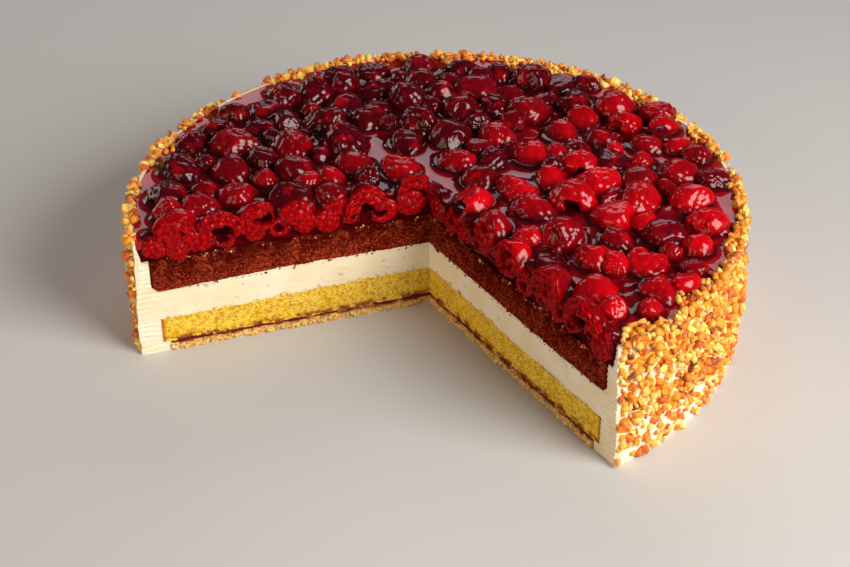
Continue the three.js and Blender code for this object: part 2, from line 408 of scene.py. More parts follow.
step_turn = math.degrees(KEPT_TURN) / LAYER_STEPS
print("a level layer is spun in", LAYER_STEPS, "steps of", round(step_turn, 1), "degrees")

# %% Finding the cut faces of a piece, and storing values on it
ON_CUT = 0.02


def on_cut(places, cut):
    """Which places lie in a cut face, and how far along it they are."""
    along, out = cut
    offset = places[:, :2] - CUT_POINT
    distance = offset @ along
    return (abs(offset @ out) < ON_CUT) & (distance > -ON_CUT), distance


def keep_value(piece, name, values):
    """Stores one number per vertex, for the piece's material to read."""
    layer = piece.data.attributes.new(name, "FLOAT", "POINT")
    layer.data.foreach_set("value", values.astype(np.float32))


solid_places = mesh_places(nodes["chocolate_sponge"])
solid_on_cut = [int(on_cut(solid_places, cut)[0].sum()) for cut in (right_cut, left_cut)]
print("the chocolate solid's vertices in each cut:", solid_on_cut)

# %% Pits in a cut face, and the last touch to a layer
PORE_SMALLNESS = 3
PORE_SQUEEZE = (0.6, 1.0)
CORNER_FADE = (0.2, 4)
RIND_DEPTHS = (2.2, 0.6)
SMOOTH_BELOW = math.radians(50)


def pores(along, up, span, length, seed, count, size, depth):
    """Round pits scattered over a cut face: how far each place sinks, and how much of a pore it is."""
    chance = np.random.default_rng(seed)
    sunk, share = np.zeros(len(along)), np.zeros(len(along))
    for _ in range(count):
        x = chance.uniform(0, length)
        y = chance.uniform(*span)
        radius = size[0] + (size[1] - size[0]) * chance.random() ** PORE_SMALLNESS
        squeeze = chance.uniform(*PORE_SQUEEZE)
        near = abs(along - x) < radius
        apart = ((along[near] - x) / radius) ** 2 + ((up[near] - y) / (radius * squeeze)) ** 2
        bowl = np.sqrt(np.clip(1 - apart, 0, 1))
        sunk[near] = np.maximum(sunk[near], bowl * depth * radius)
        share[near] = np.maximum(share[near], bowl)
    return sunk, share


def finish_layer(piece, relief):
    """Settles a layer, then pushes its cut faces in by what relief() gives for each place."""
    places = mesh_places(piece)
    faces = [on_cut(places, cut) for cut in (right_cut, left_cut)]
    flat = places[:, 2].copy()
    places[:, 2] = settled(places[:, 0], places[:, 1], flat)
    pore, reached = np.zeros(len(places)), np.zeros(len(places))
    outer = np.hypot(places[:, 0], places[:, 1])
    for seed, ((inside, distance), cut) in enumerate(zip(faces, (right_cut, left_cut))):
        push, share = relief(distance[inside], places[inside], flat[inside], seed)
        push = push * smooth_step(*CORNER_FADE, distance[inside])
        places[inside, :2] -= push[:, None] * cut[1]
        pore[inside] = share
        reached[inside] = distance[inside]
    place_mesh(piece, places)
    rind = smooth_step(outer.max() - RIND_DEPTHS[0], outer.max() - RIND_DEPTHS[1], outer)
    for name, values in {"pore": pore, "along": reached, "height": flat, "rind": rind}.items():
        keep_value(piece, name, values)
    bpy.ops.object.select_all(action="DESELECT")
    piece.select_set(True)
    bpy.context.view_layer.objects.active = piece
    bpy.ops.object.shade_smooth_by_angle(angle=SMOOTH_BELOW)
    print(piece.name, "has", sum(int(inside.sum()) for inside, _ in faces), "vertices in its cut faces")


trial_pits = pores(trial_line, 0 * trial_line, (0, 1), 100, seed=1, count=50, size=(0.3, 1.0), depth=0.8)[0]
print("a trial row of pits is up to", round(trial_pits.max(), 2), "mm deep")

# %% [markdown]
# ## Shortcrust and jam
#
# The base is a thin biscuit that breaks rather than cuts, so its face is rough and its lower edge is
# nibbled away. The jam is a soft film: its face bulges a little and it is squeezed thicker and thinner by
# the sponge above.

# %% The shortcrust base
CRUST_RADIUS = 123.65
CRUST_COARSE, CRUST_FINE = 0.35, 0.3
BITE_HEIGHT, BITE_DEPTH = 1.6, 0.9
BITE_MEAN, BITE_CHANGE, BITE_MOST = 0.5, 1.6, 1.4
CRUST_PROUD = 0.25
crust = level_layer("crumbly_shortcrust", CRUST_RADIUS, 0.0, FLAT["crust"], across=0.7, up=0.55)


def crust_break(along, places, flat, seed):
    """A broken face: coarse and fine roughness, pits, and bites out of the lower edge."""
    coarse = unevenness(*places.T, length=5.0, seed=20 + seed)
    fine = unevenness(*places.T, length=1.3, seed=22 + seed)
    bites = smooth_step(BITE_HEIGHT, 0.0, flat) * np.clip(BITE_MEAN + coarse * BITE_CHANGE, 0, BITE_MOST)
    span = (0, FLAT["crust"])
    sunk, share = pores(along, flat, span, CRUST_RADIUS, 30 + seed, count=420, size=(0.3, 1.0), depth=0.6)
    return CRUST_COARSE * coarse + CRUST_FINE * fine + BITE_DEPTH * bites + sunk - CRUST_PROUD, share


finish_layer(crust, crust_break)

# %% The jam film
JAM_BULGE = 0.45
JAM_BULGE_MEAN = 0.4
jam = level_layer("raspberry_jam_film", CRUST_RADIUS, FLAT["crust"], FLAT["jam"], across=0.8, up=0.4)


def jam_bulge(along, places, flat, seed):
    """A face that swells out most at half its height."""
    middle = np.sin(math.pi * (flat - FLAT["crust"]) / (FLAT["jam"] - FLAT["crust"]))
    return -JAM_BULGE * middle * (JAM_BULGE_MEAN + unevenness(*places.T, length=4.0, seed=24 + seed)), middle


finish_layer(jam, jam_bulge)

# %% [markdown]
# ## The two sponges
#
# A sponge is full of small holes. They could be a bump in the material, but a cut sponge is looked at
# closely, so the larger holes are real pits in the grid. Each pit also marks its place as a number on the
# mesh, and the material paints it darker there as painted shade, since a real hole lies in shade.

# %% Vanilla sponge
SPONGE_RADIUS = 127.15
SPONGE_PORES = {"size": (0.3, 0.95), "depth": 0.8}


def crumb_face(span, radius, sizes, pore_seed, pore_count, proud):
    """What a sponge's cut face is pushed in by: waves of those sizes and pits, standing a little proud."""

    def relief(along, places, flat, seed):
        sunk, share = pores(along, flat, span, radius, pore_seed + seed, pore_count, **SPONGE_PORES)
        return waves(*places.T, sizes, seed) + sunk - proud, share

    return relief


vanilla_span = (FLAT["jam"], FLAT["vanilla"])
vanilla = level_layer("vanilla_sponge_crumb", SPONGE_RADIUS, *vanilla_span, across=0.62, up=0.6)
vanilla_waves = ((0.25, 4.5, 40), (0.22, 1.0, 42))
finish_layer(vanilla, crumb_face(vanilla_span, SPONGE_RADIUS, vanilla_waves, 44, 1100, proud=0.2))

# %% Chocolate sponge
CHOCOLATE_RADIUS = 129.65
UNDERCUT = 2.5
UNDERCUT_FROM = 90
UNDERCUT_BEYOND = 6


def tuck_in(piece):
    """Rounds off the chocolate sponge's lower outer edge, and the cream that meets it there."""
    places = mesh_places(piece)
    radius = np.hypot(places[:, 0], places[:, 1])
    rise = places[:, 2] - FLAT["cream"]
    amount = np.where((rise > -SAME_LEVEL) & (rise < UNDERCUT), UNDERCUT - rise, 0)
    inner = smooth_step(UNDERCUT_FROM, CHOCOLATE_RADIUS, radius)
    outer = 1 - smooth_step(CHOCOLATE_RADIUS, CHOCOLATE_RADIUS + UNDERCUT_BEYOND, radius)
    scale = 1 - amount * np.minimum(inner, outer) / np.maximum(radius, 1)
    places[:, :2] *= np.where(radius > UNDERCUT_FROM, scale, 1)[:, None]
    place_mesh(piece, places)


chocolate_span = (FLAT["cream"], FLAT["chocolate"])
chocolate = level_layer("chocolate_sponge_crumb", CHOCOLATE_RADIUS, *chocolate_span, across=0.62, up=0.62)
tuck_in(chocolate)
chocolate_waves = ((0.25, 4.5, 50), (0.2, 1.3, 52))
finish_layer(chocolate, crumb_face(chocolate_span, CHOCOLATE_RADIUS, chocolate_waves, 54, 1300, proud=0.1))

# %% [markdown]
# ## The cream
#
# The cream is one body: the thick layer between the sponges, the wall round the side and a thin edge that
# holds the jelly. Its section is therefore shaped like a hook. The grid covers the whole section, and the
# cells that lie outside the hook are deleted before the spin. The side is dented where nuts were pressed
# on, and the knife leaves fine streaks in the cut and ridges in the wall.

# %% The cream's section
CREAM_RADIUS = 137.5
LIP_INNER = 132.75
LIP_TOP = 60.2
CREAM_STEPS = 300


def in_cream(radius, height):
    """Which places of the upright grid lie in the cream's hook."""
    layer = (height > FLAT["vanilla"]) & (height < FLAT["cream"])
    foot = (height < FLAT["jam"]) & (radius > CRUST_RADIUS)
    low = (height > FLAT["jam"]) & (height < FLAT["vanilla"]) & (radius > SPONGE_RADIUS)
    high = (height > FLAT["cream"]) & (height < FLAT["chocolate"]) & (radius > CHOCOLATE_RADIUS)
    lip = (height > FLAT["chocolate"]) & (radius > LIP_INNER)
    return layer | foot | low | high | lip


cream = swept_layer(
    "whipped_cream_coat",
    lines(0.0, CRUST_RADIUS, SPONGE_RADIUS, CHOCOLATE_RADIUS, LIP_INNER, CREAM_RADIUS, spacing=0.8),
    lines(0.0, FLAT["jam"], FLAT["vanilla"], FLAT["cream"], FLAT["chocolate"], LIP_TOP, spacing=0.8),
    CREAM_STEPS,
    [0.0, FLAT["vanilla"], FLAT["cream"]],
    in_cream,
)
tuck_in(cream)

# %% Lean, dents and a thin edge
LIP_OUTER = 135.5
SIDE_BREAK = 16.5
DENTS = ((0.7, 7.0, 60), (0.35, 2.6, 61))
DENTS_FROM_FOOT = (0, 2)
OUTSIDE = 0.05
LIP_THINNING = 1.5
LIP_SPREAD_FROM = 118


def side_radius(height):
    """The cream side's radius: upright at the foot, then leaning in to the lip."""
    return np.interp(height, [SIDE_BREAK, FLAT["chocolate"]], [CREAM_RADIUS, LIP_OUTER])


def lean_in(piece):
    """Leans the side in towards the lip and dents it where the nuts were pressed on."""
    places = mesh_places(piece)
    radius = np.hypot(places[:, 0], places[:, 1])
    narrowing = (side_radius(places[:, 2]) - LIP_INNER) / (CREAM_RADIUS - LIP_INNER)
    leaned = np.where(radius > LIP_INNER, LIP_INNER + (radius - LIP_INNER) * narrowing, radius)
    outside = radius > CREAM_RADIUS - OUTSIDE
    x, y, z = places[outside].T
    leaned[outside] += waves(x, y, z, DENTS) * smooth_step(*DENTS_FROM_FOOT, z)
    places[:, :2] *= (leaned / np.maximum(radius, 1))[:, None]
    place_mesh(piece, places)


def thin_lip(piece):
    """Spreads the jelly and the lip's inner side outwards near the top, so that the lip ends thin."""
    places = mesh_places(piece)
    radius = np.hypot(places[:, 0], places[:, 1])
    rising = smooth_step(FLAT["chocolate"], JELLY_LEVEL - 1, places[:, 2])
    near = np.interp(radius, [LIP_SPREAD_FROM, LIP_INNER, LIP_OUTER], [0, 1, 0])
    spread = 1 + LIP_THINNING * rising * near / np.maximum(radius, 1)
    places[:, :2] *= spread[:, None]
    place_mesh(piece, places)


lean_in(cream)
thin_lip(cream)
print("cream side from", CREAM_RADIUS, "mm at the foot to", LIP_OUTER, "mm at the lip")

# %% Knife marks
STREAK_LENGTH, STREAK_HEIGHT = 9, 0.9
STREAK_DEPTH, BROAD_DEPTH, RIDGE_DEPTH = 0.15, 0.3, 0.3
RIDGE_PITCH = 2.6
RIDGE_SWAY = 2.5
WALL_FROM = SPONGE_RADIUS - 3


def knife_marks(along, places, flat, seed):
    """Streaks along the knife's way, broad waves, a few air holes, and ridges in the wall."""
    x, y, z = places.T
    streaks = unevenness(along / STREAK_LENGTH, z / STREAK_HEIGHT, 0, length=1.0, seed=62 + seed)
    broad = unevenness(x, y, z, length=11.0, seed=64 + seed)
    wall = smooth_step(WALL_FROM, LIP_INNER, np.hypot(x, y))
    sway = RIDGE_SWAY * unevenness(x, y, z, length=9.0, seed=68 + seed)
    ridges = np.sin(FULL_TURN * z / RIDGE_PITCH + sway)
    span = (FLAT["vanilla"], FLAT["cream"])
    sunk, share = pores(along, flat, span, SPONGE_RADIUS, 66 + seed, count=16, size=(0.5, 1.1), depth=1.2)
    return STREAK_DEPTH * streaks + BROAD_DEPTH * broad + RIDGE_DEPTH * wall * ridges + sunk, share


finish_layer(cream, knife_marks)

# %% [markdown]
# ## Where the berries lie
#
# The frame's topping has the berries fused to the jelly, thrown at random by a rule with a fixed seed.
# The same rule is repeated here, with the same generator, so each detailed berry lands exactly on its
# plain one. Three more rules add what the plain solid leaves out: berries that only just break the
# surface, berries that show in the cut faces, and a few that lean on the rim.

# %% The shared random rule
WORD = 0xFFFFFFFF


def seeded(seed):
    """A small repeatable generator of numbers from 0 to 1."""
    state = seed

    def draw():
        nonlocal state
        state = (state + 0x6D2B79F5) & WORD
        mixed = ((state ^ (state >> 15)) * (1 | state)) & WORD
        mixed = ((mixed + (mixed ^ (mixed >> 7)) * (61 | mixed)) & WORD) ^ mixed
        return (mixed ^ (mixed >> 14)) / 2**32

    return draw


def depth_in_gap(x, y):
    """How deep a place lies inside the missing wedge; negative outside it."""
    offset = np.array([x, y]) - CUT_POINT
    return -max(offset @ -right_cut[1], offset @ -left_cut[1])


def between(pair, share):
    """The number that lies that share of the way from the pair's first to its second."""
    return pair[0] + (pair[1] - pair[0]) * share


def round_place(distance, angle):
    """A place at that distance from the cake's axis."""
    return distance * math.cos(angle), distance * math.sin(angle)


def free_of(others, x, y, radius, share):
    """Whether a berry or nut keeps that share of both radii away from the others."""
    return all(math.hypot(b["x"] - x, b["y"] - y) > share * (b["radius"] + radius) for b in others)


print("a place 50 mm in front of the axis lies", round(depth_in_gap(0, -50), 1), "mm inside the gap")

# %% The heaped berries of the frame
BERRY_SEED = 61
BERRY_TRIES = 2600
BERRY_RADII = (10.6, 6.6)
BERRY_SIZE_CHANCE = 0.25
BERRY_STRETCH = 1.12
BERRY_SPACING = 0.86
BERRY_BEYOND_CUT = 0.3
BERRY_HEAP = 3.0
BERRY_LIFT = (-0.38, 0.12)
BERRY_TILT = (0.2, 0.82)
JELLY_RADIUS = 132.6
BERRY_CLEARANCE = 1.0


def heaped_berries():
    """The berries of the frame's topping, by the frame's own rule."""
    draw = seeded(BERRY_SEED)
    found = []
    for attempt in range(BERRY_TRIES):
        turn, out, size, lift, tilt, heading, roll = (draw() for _ in range(7))
        radius = between(BERRY_RADII, between((attempt / BERRY_TRIES, size), BERRY_SIZE_CHANCE))
        distance = math.sqrt(out) * (JELLY_RADIUS - BERRY_CLEARANCE - BERRY_STRETCH * radius)
        x, y = round_place(distance, FULL_TURN * turn)
        if depth_in_gap(x, y) > BERRY_BEYOND_CUT * radius:
            continue
        if not free_of(found, x, y, radius, BERRY_SPACING):
            continue
        heap = BERRY_HEAP * (1 - (distance / JELLY_RADIUS) ** 2)
        z = JELLY_LEVEL + heap + radius * between(BERRY_LIFT, lift)
        lie = {"tilt": math.pi * between(BERRY_TILT, tilt), "heading": FULL_TURN * heading}
        found.append({"x": x, "y": y, "z": z, "radius": radius, "roll": FULL_TURN * roll, **lie})
    return found


berries = heaped_berries()
print("heaped berries:", len(berries))

# %% Berries that only just break the surface
POOL_LEVEL = 57.1
POOL_RISE = (4.6, 2.9)
POOL_SLOPE = (50, 115)
SUNKEN_RADII = (4.4, 7.4)
SUNKEN_FROM_RIM = 4
SUNKEN_LIFT = (-0.1, 0.5)
SUNKEN_DROP = 0.3
SUNKEN_TO_HEAPED = 0.68
OWN_SPACING = 0.95


def still_level(from_axis):
    """Height of the jelly between the berries: a little higher in the middle than at the rim."""
    return POOL_LEVEL + between(POOL_RISE, smooth_step(*POOL_SLOPE, from_axis))


def random_lie(chance):
    """A random direction for a berry's tip, and a random roll about it."""
    return {
        "tilt": math.acos(chance.uniform(-1, 1)),
        "heading": chance.uniform(0, FULL_TURN),
        "roll": chance.uniform(0, FULL_TURN),
    }


def sunken_berries(seed, tries):
    """Small berries in the gaps between the heaped ones, deep in the jelly."""
    chance = np.random.default_rng(seed)
    found = []
    for _ in range(tries):
        radius = chance.uniform(*SUNKEN_RADII)
        distance = math.sqrt(chance.random()) * (JELLY_RADIUS - SUNKEN_FROM_RIM - radius)
        x, y = round_place(distance, chance.uniform(0, FULL_TURN))
        lift = chance.uniform(*SUNKEN_LIFT)
        lie = random_lie(chance)
        if depth_in_gap(x, y) > -radius:
            continue
        if free_of(berries, x, y, radius, SUNKEN_TO_HEAPED) and free_of(found, x, y, radius, OWN_SPACING):
            z = still_level(distance) - SUNKEN_DROP + radius * lift
            found.append({"x": x, "y": y, "z": z, "radius": radius, **lie})
    return found


sunken = sunken_berries(seed=5, tries=3000)
print("places for sunken berries:", len(sunken))

# %% Berries in the cut faces
CUT_BERRY_RADII = (5.8, 8.2)
CUT_BERRY_REACHES = (7.0, JELLY_RADIUS - 8)
CUT_BERRY_STEP = (1.45, 2.1)
CUT_BERRY_LIFT = 0.8
CUT_BERRY_RISE = (0, 2.0)
OPEN_AT_CUT = 0.45
OPEN_BEHIND = 0.8
CLOSED_BEHIND = (0.3, 0.85)
OPEN_TILT = (-0.3, 0.3)
OPEN_SWING = (-0.35, 0.35)
END_RADII = (6.4, 7.4)
END_BEHIND = 0.35
END_LIFT = 1.05


def berries_at_cut(seed):
    """A row of berries low in each cut face, some with the open end to the gap, and one at each rim end."""
    chance = np.random.default_rng(seed)
    found = []
    for along, out in (right_cut, left_cut):
        distance, last = CUT_BERRY_REACHES
        while distance < last:
            radius = chance.uniform(*CUT_BERRY_RADII)
            opened = chance.random() < OPEN_AT_CUT
            behind = radius * (OPEN_BEHIND if opened else chance.uniform(*CLOSED_BEHIND))
            x, y = CUT_POINT + along * distance - out * behind
            z = FLAT["chocolate"] + radius * CUT_BERRY_LIFT + chance.uniform(*CUT_BERRY_RISE)
            lie = random_lie(chance)
            if opened:
                lie["tilt"] = math.pi / 2 + chance.uniform(*OPEN_TILT)
                lie["heading"] = math.atan2(-out[1], -out[0]) + chance.uniform(*OPEN_SWING)
            found.append({"x": x, "y": y, "z": z, "radius": radius, "opened": opened, **lie})
            distance += radius * chance.uniform(*CUT_BERRY_STEP)
    for turn, (along, out) in ((0, right_cut), (KEPT_TURN, left_cut)):
        radius = chance.uniform(*END_RADII)
        x, y = CUT_POINT + along * reach(turn, JELLY_RADIUS - radius) - out * radius * END_BEHIND
        z = FLAT["chocolate"] + radius * END_LIFT
        found.append({"x": x, "y": y, "z": z, "radius": radius, **random_lie(chance)})
    return found


sliced = berries_at_cut(seed=8)
print("berries at the cut:", len(sliced))

# %% Berries at the rim
RIM_BERRIES = 7
RIM_RADII = (5.6, 8.0)
RIM_INSET = (-0.5, 3.0)
RIM_LIFT = (-0.05, 0.35)
RIM_TO_OTHERS = 0.72
RIM_TO_SUNKEN = 0.8


def rim_berries(seed, tries):
    """Berries at the jelly's edge on the right half, where the others leave room."""
    chance = np.random.default_rng(seed)
    found = []
    for _ in range(tries):
        radius = chance.uniform(*RIM_RADII)
        distance = JELLY_RADIUS - radius - chance.uniform(*RIM_INSET)
        x, y = round_place(distance, chance.uniform(0, FULL_TURN))
        z = still_level(distance) + radius * chance.uniform(*RIM_LIFT)
        lie = random_lie(chance)
        if depth_in_gap(x, y) > -radius or x < 0 or len(found) == RIM_BERRIES:
            continue
        clear = free_of(berries + sliced, x, y, radius, RIM_TO_OTHERS)
        if clear and free_of(found, x, y, radius, OWN_SPACING):
            found.append({"x": x, "y": y, "z": z, "radius": radius, **lie})
    return found


at_rim = rim_berries(seed=9, tries=1500)
sunken = [b for b in sunken if free_of(at_rim, b["x"], b["y"], b["radius"], RIM_TO_SUNKEN)]
print("berries at the rim:", len(at_rim), "and places left for sunken ones:", len(sunken))

# %% [markdown]
# ## The jelly
#
# Jelly is poured over the fruit. It sets in flat pools, a little higher in the middle of the cake, with a
# narrow edge that climbs each berry, and where a berry is quite covered it swells softly. A fluid
# simulation would be slow for such small effects. Instead each vertex of the top is lifted by the berries
# round it. How near a berry is and how much of a covered one shows are stored on the mesh; nearness
# gives a painted shade, which makes the jelly darkest beside fruit.

# %% The jelly body and the berries that it covers
JELLY_STEPS = 460
DROWNED_RADII = (5.5, 9.0)
DROWNED_REACH = (0.3, 1)
DROWNED_OUTWARD = 0.6
DROWNED_FROM_RIM = 3
DROWNED_OVERHANG = 0.6
DROWNED_HEIGHTS = (1.0, 2.6)
DROWNED_SPACING = 0.62
jelly = swept_layer(
    "clear_red_jelly",
    lines(0.0, LIP_INNER, spacing=1.15),
    lines(FLAT["chocolate"], JELLY_LEVEL, spacing=1.2),
    JELLY_STEPS,
    [FLAT["chocolate"]],
)


def drowned_berries(seed, tries):
    """Berries that the jelly covers: they only show as soft swellings of its surface."""
    chance = np.random.default_rng(seed)
    found = []
    for _ in range(tries):
        radius = chance.uniform(*DROWNED_RADII)
        widest = JELLY_RADIUS - DROWNED_FROM_RIM - DROWNED_OVERHANG * radius
        distance = chance.uniform(*DROWNED_REACH) ** DROWNED_OUTWARD * widest
        x, y = round_place(distance, chance.uniform(0, FULL_TURN))
        height = chance.uniform(*DROWNED_HEIGHTS)
        others = berries + sunken + at_rim + found
        if depth_in_gap(x, y) < -radius and free_of(others, x, y, radius, DROWNED_SPACING):
            found.append({"x": x, "y": y, "radius": radius, "height": height})
    return found


drowned = drowned_berries(seed=6, tries=700)
print("drowned berries:", len(drowned))

# %% The height of its surface
COLLAR_HEIGHT = 1.7
COLLAR_LENGTH = 1.1
COLLAR_BLEND = 3
SHADE_BESIDE_LENGTH = 2.0
NARROWEST_WAIST = 2
SWELLING_POWER = 1.5
POOL_WAVES = ((0.5, 34.0, 70), (0.15, 8.0, 71))
RIM_LEVEL = 60.0
RIM_BAND = (JELLY_RADIUS - 5, JELLY_RADIUS + 1)


def pool_height(x, y):
    """Height of the jelly's surface, a painted shade that is strongest beside a berry, and how much a drowned
    one shows.
    """
    rise, cover, shows = np.zeros(len(x)), np.zeros(len(x)), np.zeros(len(x))
    from_axis = np.hypot(x, y)
    for berry in berries + sunken + sliced + at_rim:
        apart = np.hypot(x - berry["x"], y - berry["y"])
        over = berry["z"] - still_level(math.hypot(berry["x"], berry["y"]))
        waist = math.sqrt(max(berry["radius"] ** 2 - over**2, NARROWEST_WAIST**2))
        rise += np.exp(-COLLAR_BLEND * np.maximum(apart - waist, 0) / COLLAR_LENGTH)
        # painted shade: strongest next to a berry, fading away from it
        cover = np.maximum(cover, np.exp(-np.maximum(apart - waist, 0) / SHADE_BESIDE_LENGTH))
    rise = COLLAR_HEIGHT * rise ** (1 / COLLAR_BLEND)
    for berry in drowned:
        apart = np.hypot(x - berry["x"], y - berry["y"])
        swelling = np.clip(1 - (apart / berry["radius"]) ** 2, 0, 1) ** SWELLING_POWER
        rise += berry["height"] * swelling
        shows = np.maximum(shows, swelling)
    surface = still_level(from_axis) + rise + waves(x, y, 0, POOL_WAVES)
    rim = smooth_step(*RIM_BAND, from_axis)
    return surface + (RIM_LEVEL - surface) * rim, cover, shows


still_heights = [round(float(still_level(distance)), 1) for distance in (0, JELLY_RADIUS)]
print("still jelly in the middle and at the rim, in mm:", still_heights)

# %% Which sunken berries show
JELLY_CUT_BACK = 1.0
JELLY_CUT_WAVES = ((1.2, 5.0, 72),)
SHOWN_SUNKEN = 31
SUNKEN_TOP = 0.9
LEAST_SHOWING = 1.2


def jelly_cut(along, places, flat, seed):
    """A torn face, a little behind the cut, that counts as cut all over."""
    return JELLY_CUT_BACK + waves(*places.T, JELLY_CUT_WAVES, seed), np.ones(len(places))


thin_lip(jelly)
finish_layer(jelly, jelly_cut)
sunken_tops = pool_height(np.array([b["x"] for b in sunken]), np.array([b["y"] for b in sunken]))[0]
showing = [b["z"] + SUNKEN_TOP * b["radius"] - top for b, top in zip(sunken, sunken_tops)]
order = sorted(range(len(sunken)), key=lambda index: -showing[index])[:SHOWN_SUNKEN]
sunken = [sunken[index] for index in order if showing[index] > LEAST_SHOWING]
print("sunken berries that show:", len(sunken), "by", round(min(showing[i] for i in order), 1), "mm or more")

# %% Lifting the jelly's top
THIN_JELLY = (112, 130)
jelly_places = mesh_places(jelly)
jelly_top, jelly_cover, jelly_shows = pool_height(jelly_places[:, 0], jelly_places[:, 1])
share_up = np.clip((jelly_places[:, 2] - FLAT["chocolate"]) / (JELLY_LEVEL - FLAT["chocolate"]), 0, 1)
jelly_places[:, 2] += share_up * (jelly_top - JELLY_LEVEL)
place_mesh(jelly, jelly_places)
# the painted shade beside the berries, stored for the jelly's colour
keep_value(jelly, "cover", jelly_cover)
keep_value(jelly, "shows", jelly_shows)
keep_value(jelly, "thin", smooth_step(*THIN_JELLY, np.hypot(jelly_places[:, 0], jelly_places[:, 1])))
print("jelly surface from", round(jelly_top.min(), 1), "to", round(jelly_top.max(), 1), "mm")

# %% [markdown]
# ## One raspberry, a dozen times
#
# A raspberry is a thimble of some sixty to eighty drupelets round a hollow. Sculpting each one would take
# days, and a bump would leave the outline smooth. A ball of small triangles is pulled into a thimble,
# then every vertex is lifted by its nearest drupelet, and the furrow between two drupelets is stored for
# the colour, which darkens there, partly dark juice and partly painted shade. A dozen such berries, some
# plump and some smooth, some with an open end, are enough because no two lie the same way.

# %% A thimble of drupelets
DRUPELETS = (62, 84)
DRUPELET_WIDTH = 0.3
DRUPELET_SPREAD = (0.92, 1.1)
DRUPELET_STRAY = (0.015, 0.07)
FURROW_WIDTH = 0.16
TIP_TO_END = 1.95
BLUNTNESS = 0.9
GOLDEN_ANGLE = math.pi * (3 - math.sqrt(5))


def thimble(toward_tip, angle, taper):
    """A place on a plain thimble of radius 1, from its height share and the angle round it."""
    sine = np.sqrt(np.clip(1 - toward_tip**2, 0, 1))
    out = sine**BLUNTNESS * (1 - taper * toward_tip)
    return np.stack([out * np.cos(angle), out * np.sin(angle), BERRY_STRETCH * toward_tip], axis=1)


def drupelets(skin, taper, chance):
    """How far each place of the skin is into a furrow, and how far up a drupelet."""
    count = chance.integers(*DRUPELETS)
    steps = np.arange(count)
    tips = 1 - TIP_TO_END * (steps + 0.5) / count + chance.normal(0, DRUPELET_STRAY[0], count)
    angles = steps * GOLDEN_ANGLE + chance.normal(0, DRUPELET_STRAY[1], count)
    centres = thimble(np.clip(tips, -1, 1), angles, taper)
    apart = np.linalg.norm(skin[:, None] - centres[None], axis=2) / chance.uniform(*DRUPELET_SPREAD, count)
    nearest = np.sort(apart, axis=1)[:, :2]
    furrow = 1 - smooth_step(0.0, FURROW_WIDTH, nearest[:, 1] - nearest[:, 0])
    return furrow, 1 - np.clip(nearest[:, 0] / DRUPELET_WIDTH, 0, 1) ** 2


print("each drupelet lies", round(math.degrees(GOLDEN_ANGLE), 1), "degrees further round than the last")

# %% Berry forms
FORM_COUNT = 12
FORM_SEED = 900
FORM_FINENESS = 5
TAPER = (0.08, 0.2)
DRUPELET_LIFT = (0.02, 0.1)
BERRY_LUMPS = ((0.11, 0.9, 100),)
BERRY_DENTS = 3
DENT_DEPTH = (0.06, 0.2)
DENT_REACH = (0.7, 1.0)
OPEN_FORMS = 3
OPEN_DEPTH, DIMPLE_DEPTH = 0.5, 0.12
OPENING = (-0.93, -0.99)
OPENING_WAVES = ((0.05, 0.3, 120),)
BERRY_PROPORTIONS = (0.92, 1.1)


def berry_form(seed):
    """The mesh of one berry of radius 1 mm, its tip up, with what its material needs."""
    chance = np.random.default_rng(FORM_SEED + seed)
    bpy.ops.object.select_all(action="DESELECT")
    bpy.ops.mesh.primitive_ico_sphere_add(subdivisions=FORM_FINENESS, radius=MM)
    form = bpy.context.object
    ball = mesh_places(form)
    toward_tip, angle = ball[:, 2], np.arctan2(ball[:, 1], ball[:, 0])
    taper = chance.uniform(*TAPER)
    skin = thimble(toward_tip, angle, taper)
    furrow, swell = drupelets(skin, taper, chance)
    lumps = waves(*skin.T, BERRY_LUMPS, seed)
    sunk = 0
    for dent in chance.normal(0, 1, (BERRY_DENTS, 3)):
        toward_dent = ball @ (dent / np.linalg.norm(dent))
        sunk = sunk + chance.uniform(*DENT_DEPTH) * smooth_step(*DENT_REACH, toward_dent)
    plumpness = chance.random()
    places = skin * (1.0 + between(DRUPELET_LIFT, plumpness) * (swell - 0.5) + lumps - sunk)[:, None]
    hollow = smooth_step(*OPENING, toward_tip + waves(*ball.T, OPENING_WAVES, seed))
    opened = seed < OPEN_FORMS
    places[:, 2] += (OPEN_DEPTH if opened else DIMPLE_DEPTH) * hollow
    places *= chance.uniform(*BERRY_PROPORTIONS, 3)
    place_mesh(form, places)
    # furrow and crease darken the furrows in the colour, partly dark juice and partly painted shade
    values = {"furrow": furrow, "crease": furrow * plumpness, "swell": swell, "hollow": hollow * opened}
    for name, numbers in values.items():
        keep_value(form, name, numbers)
    mesh = form.data
    bpy.data.objects.remove(form)
    return mesh


berry_forms = [berry_form(seed) for seed in range(FORM_COUNT)]
print("berry forms:", len(berry_forms), "with", len(berry_forms[0].polygons), "faces each")

# %% [markdown]
# ## Laying the berries
#
# Each berry is a copy of a form, turned and put in its place, and what lies under the jelly is cut away.
# A berry that stands out of a cut face could be sliced flat, but a knife squashes it instead. So its
# drupelets are pressed back to the face and kept, its flesh shows there, and an open end leaves a hollow,
# painted dark as shade. Where the two cuts meet, a berry is pressed back from both sides. All berries of
# one kind are joined into one mesh.

# %% Turning a berry and cutting it off under the jelly
BISECT_TOLERANCE = 1e-5


def berry_turn(berry):
    """The turn that points a berry's tip along its tilt and heading, after its own roll."""
    turn = Matrix.Rotation(berry["heading"], 3, "Z") @ Matrix.Rotation(berry["tilt"], 3, "Y")
    return turn @ Matrix.Rotation(berry["roll"], 3, "Z")


def berry_matrix(berry):
    """Takes a form of radius 1 mm to the berry's size, turn and place, in millimetres."""
    place = Matrix.Translation(Vector((berry["x"], berry["y"], berry["z"])))
    return place @ berry_turn(berry).to_4x4() @ Matrix.Scale(berry["radius"] / MM, 4)


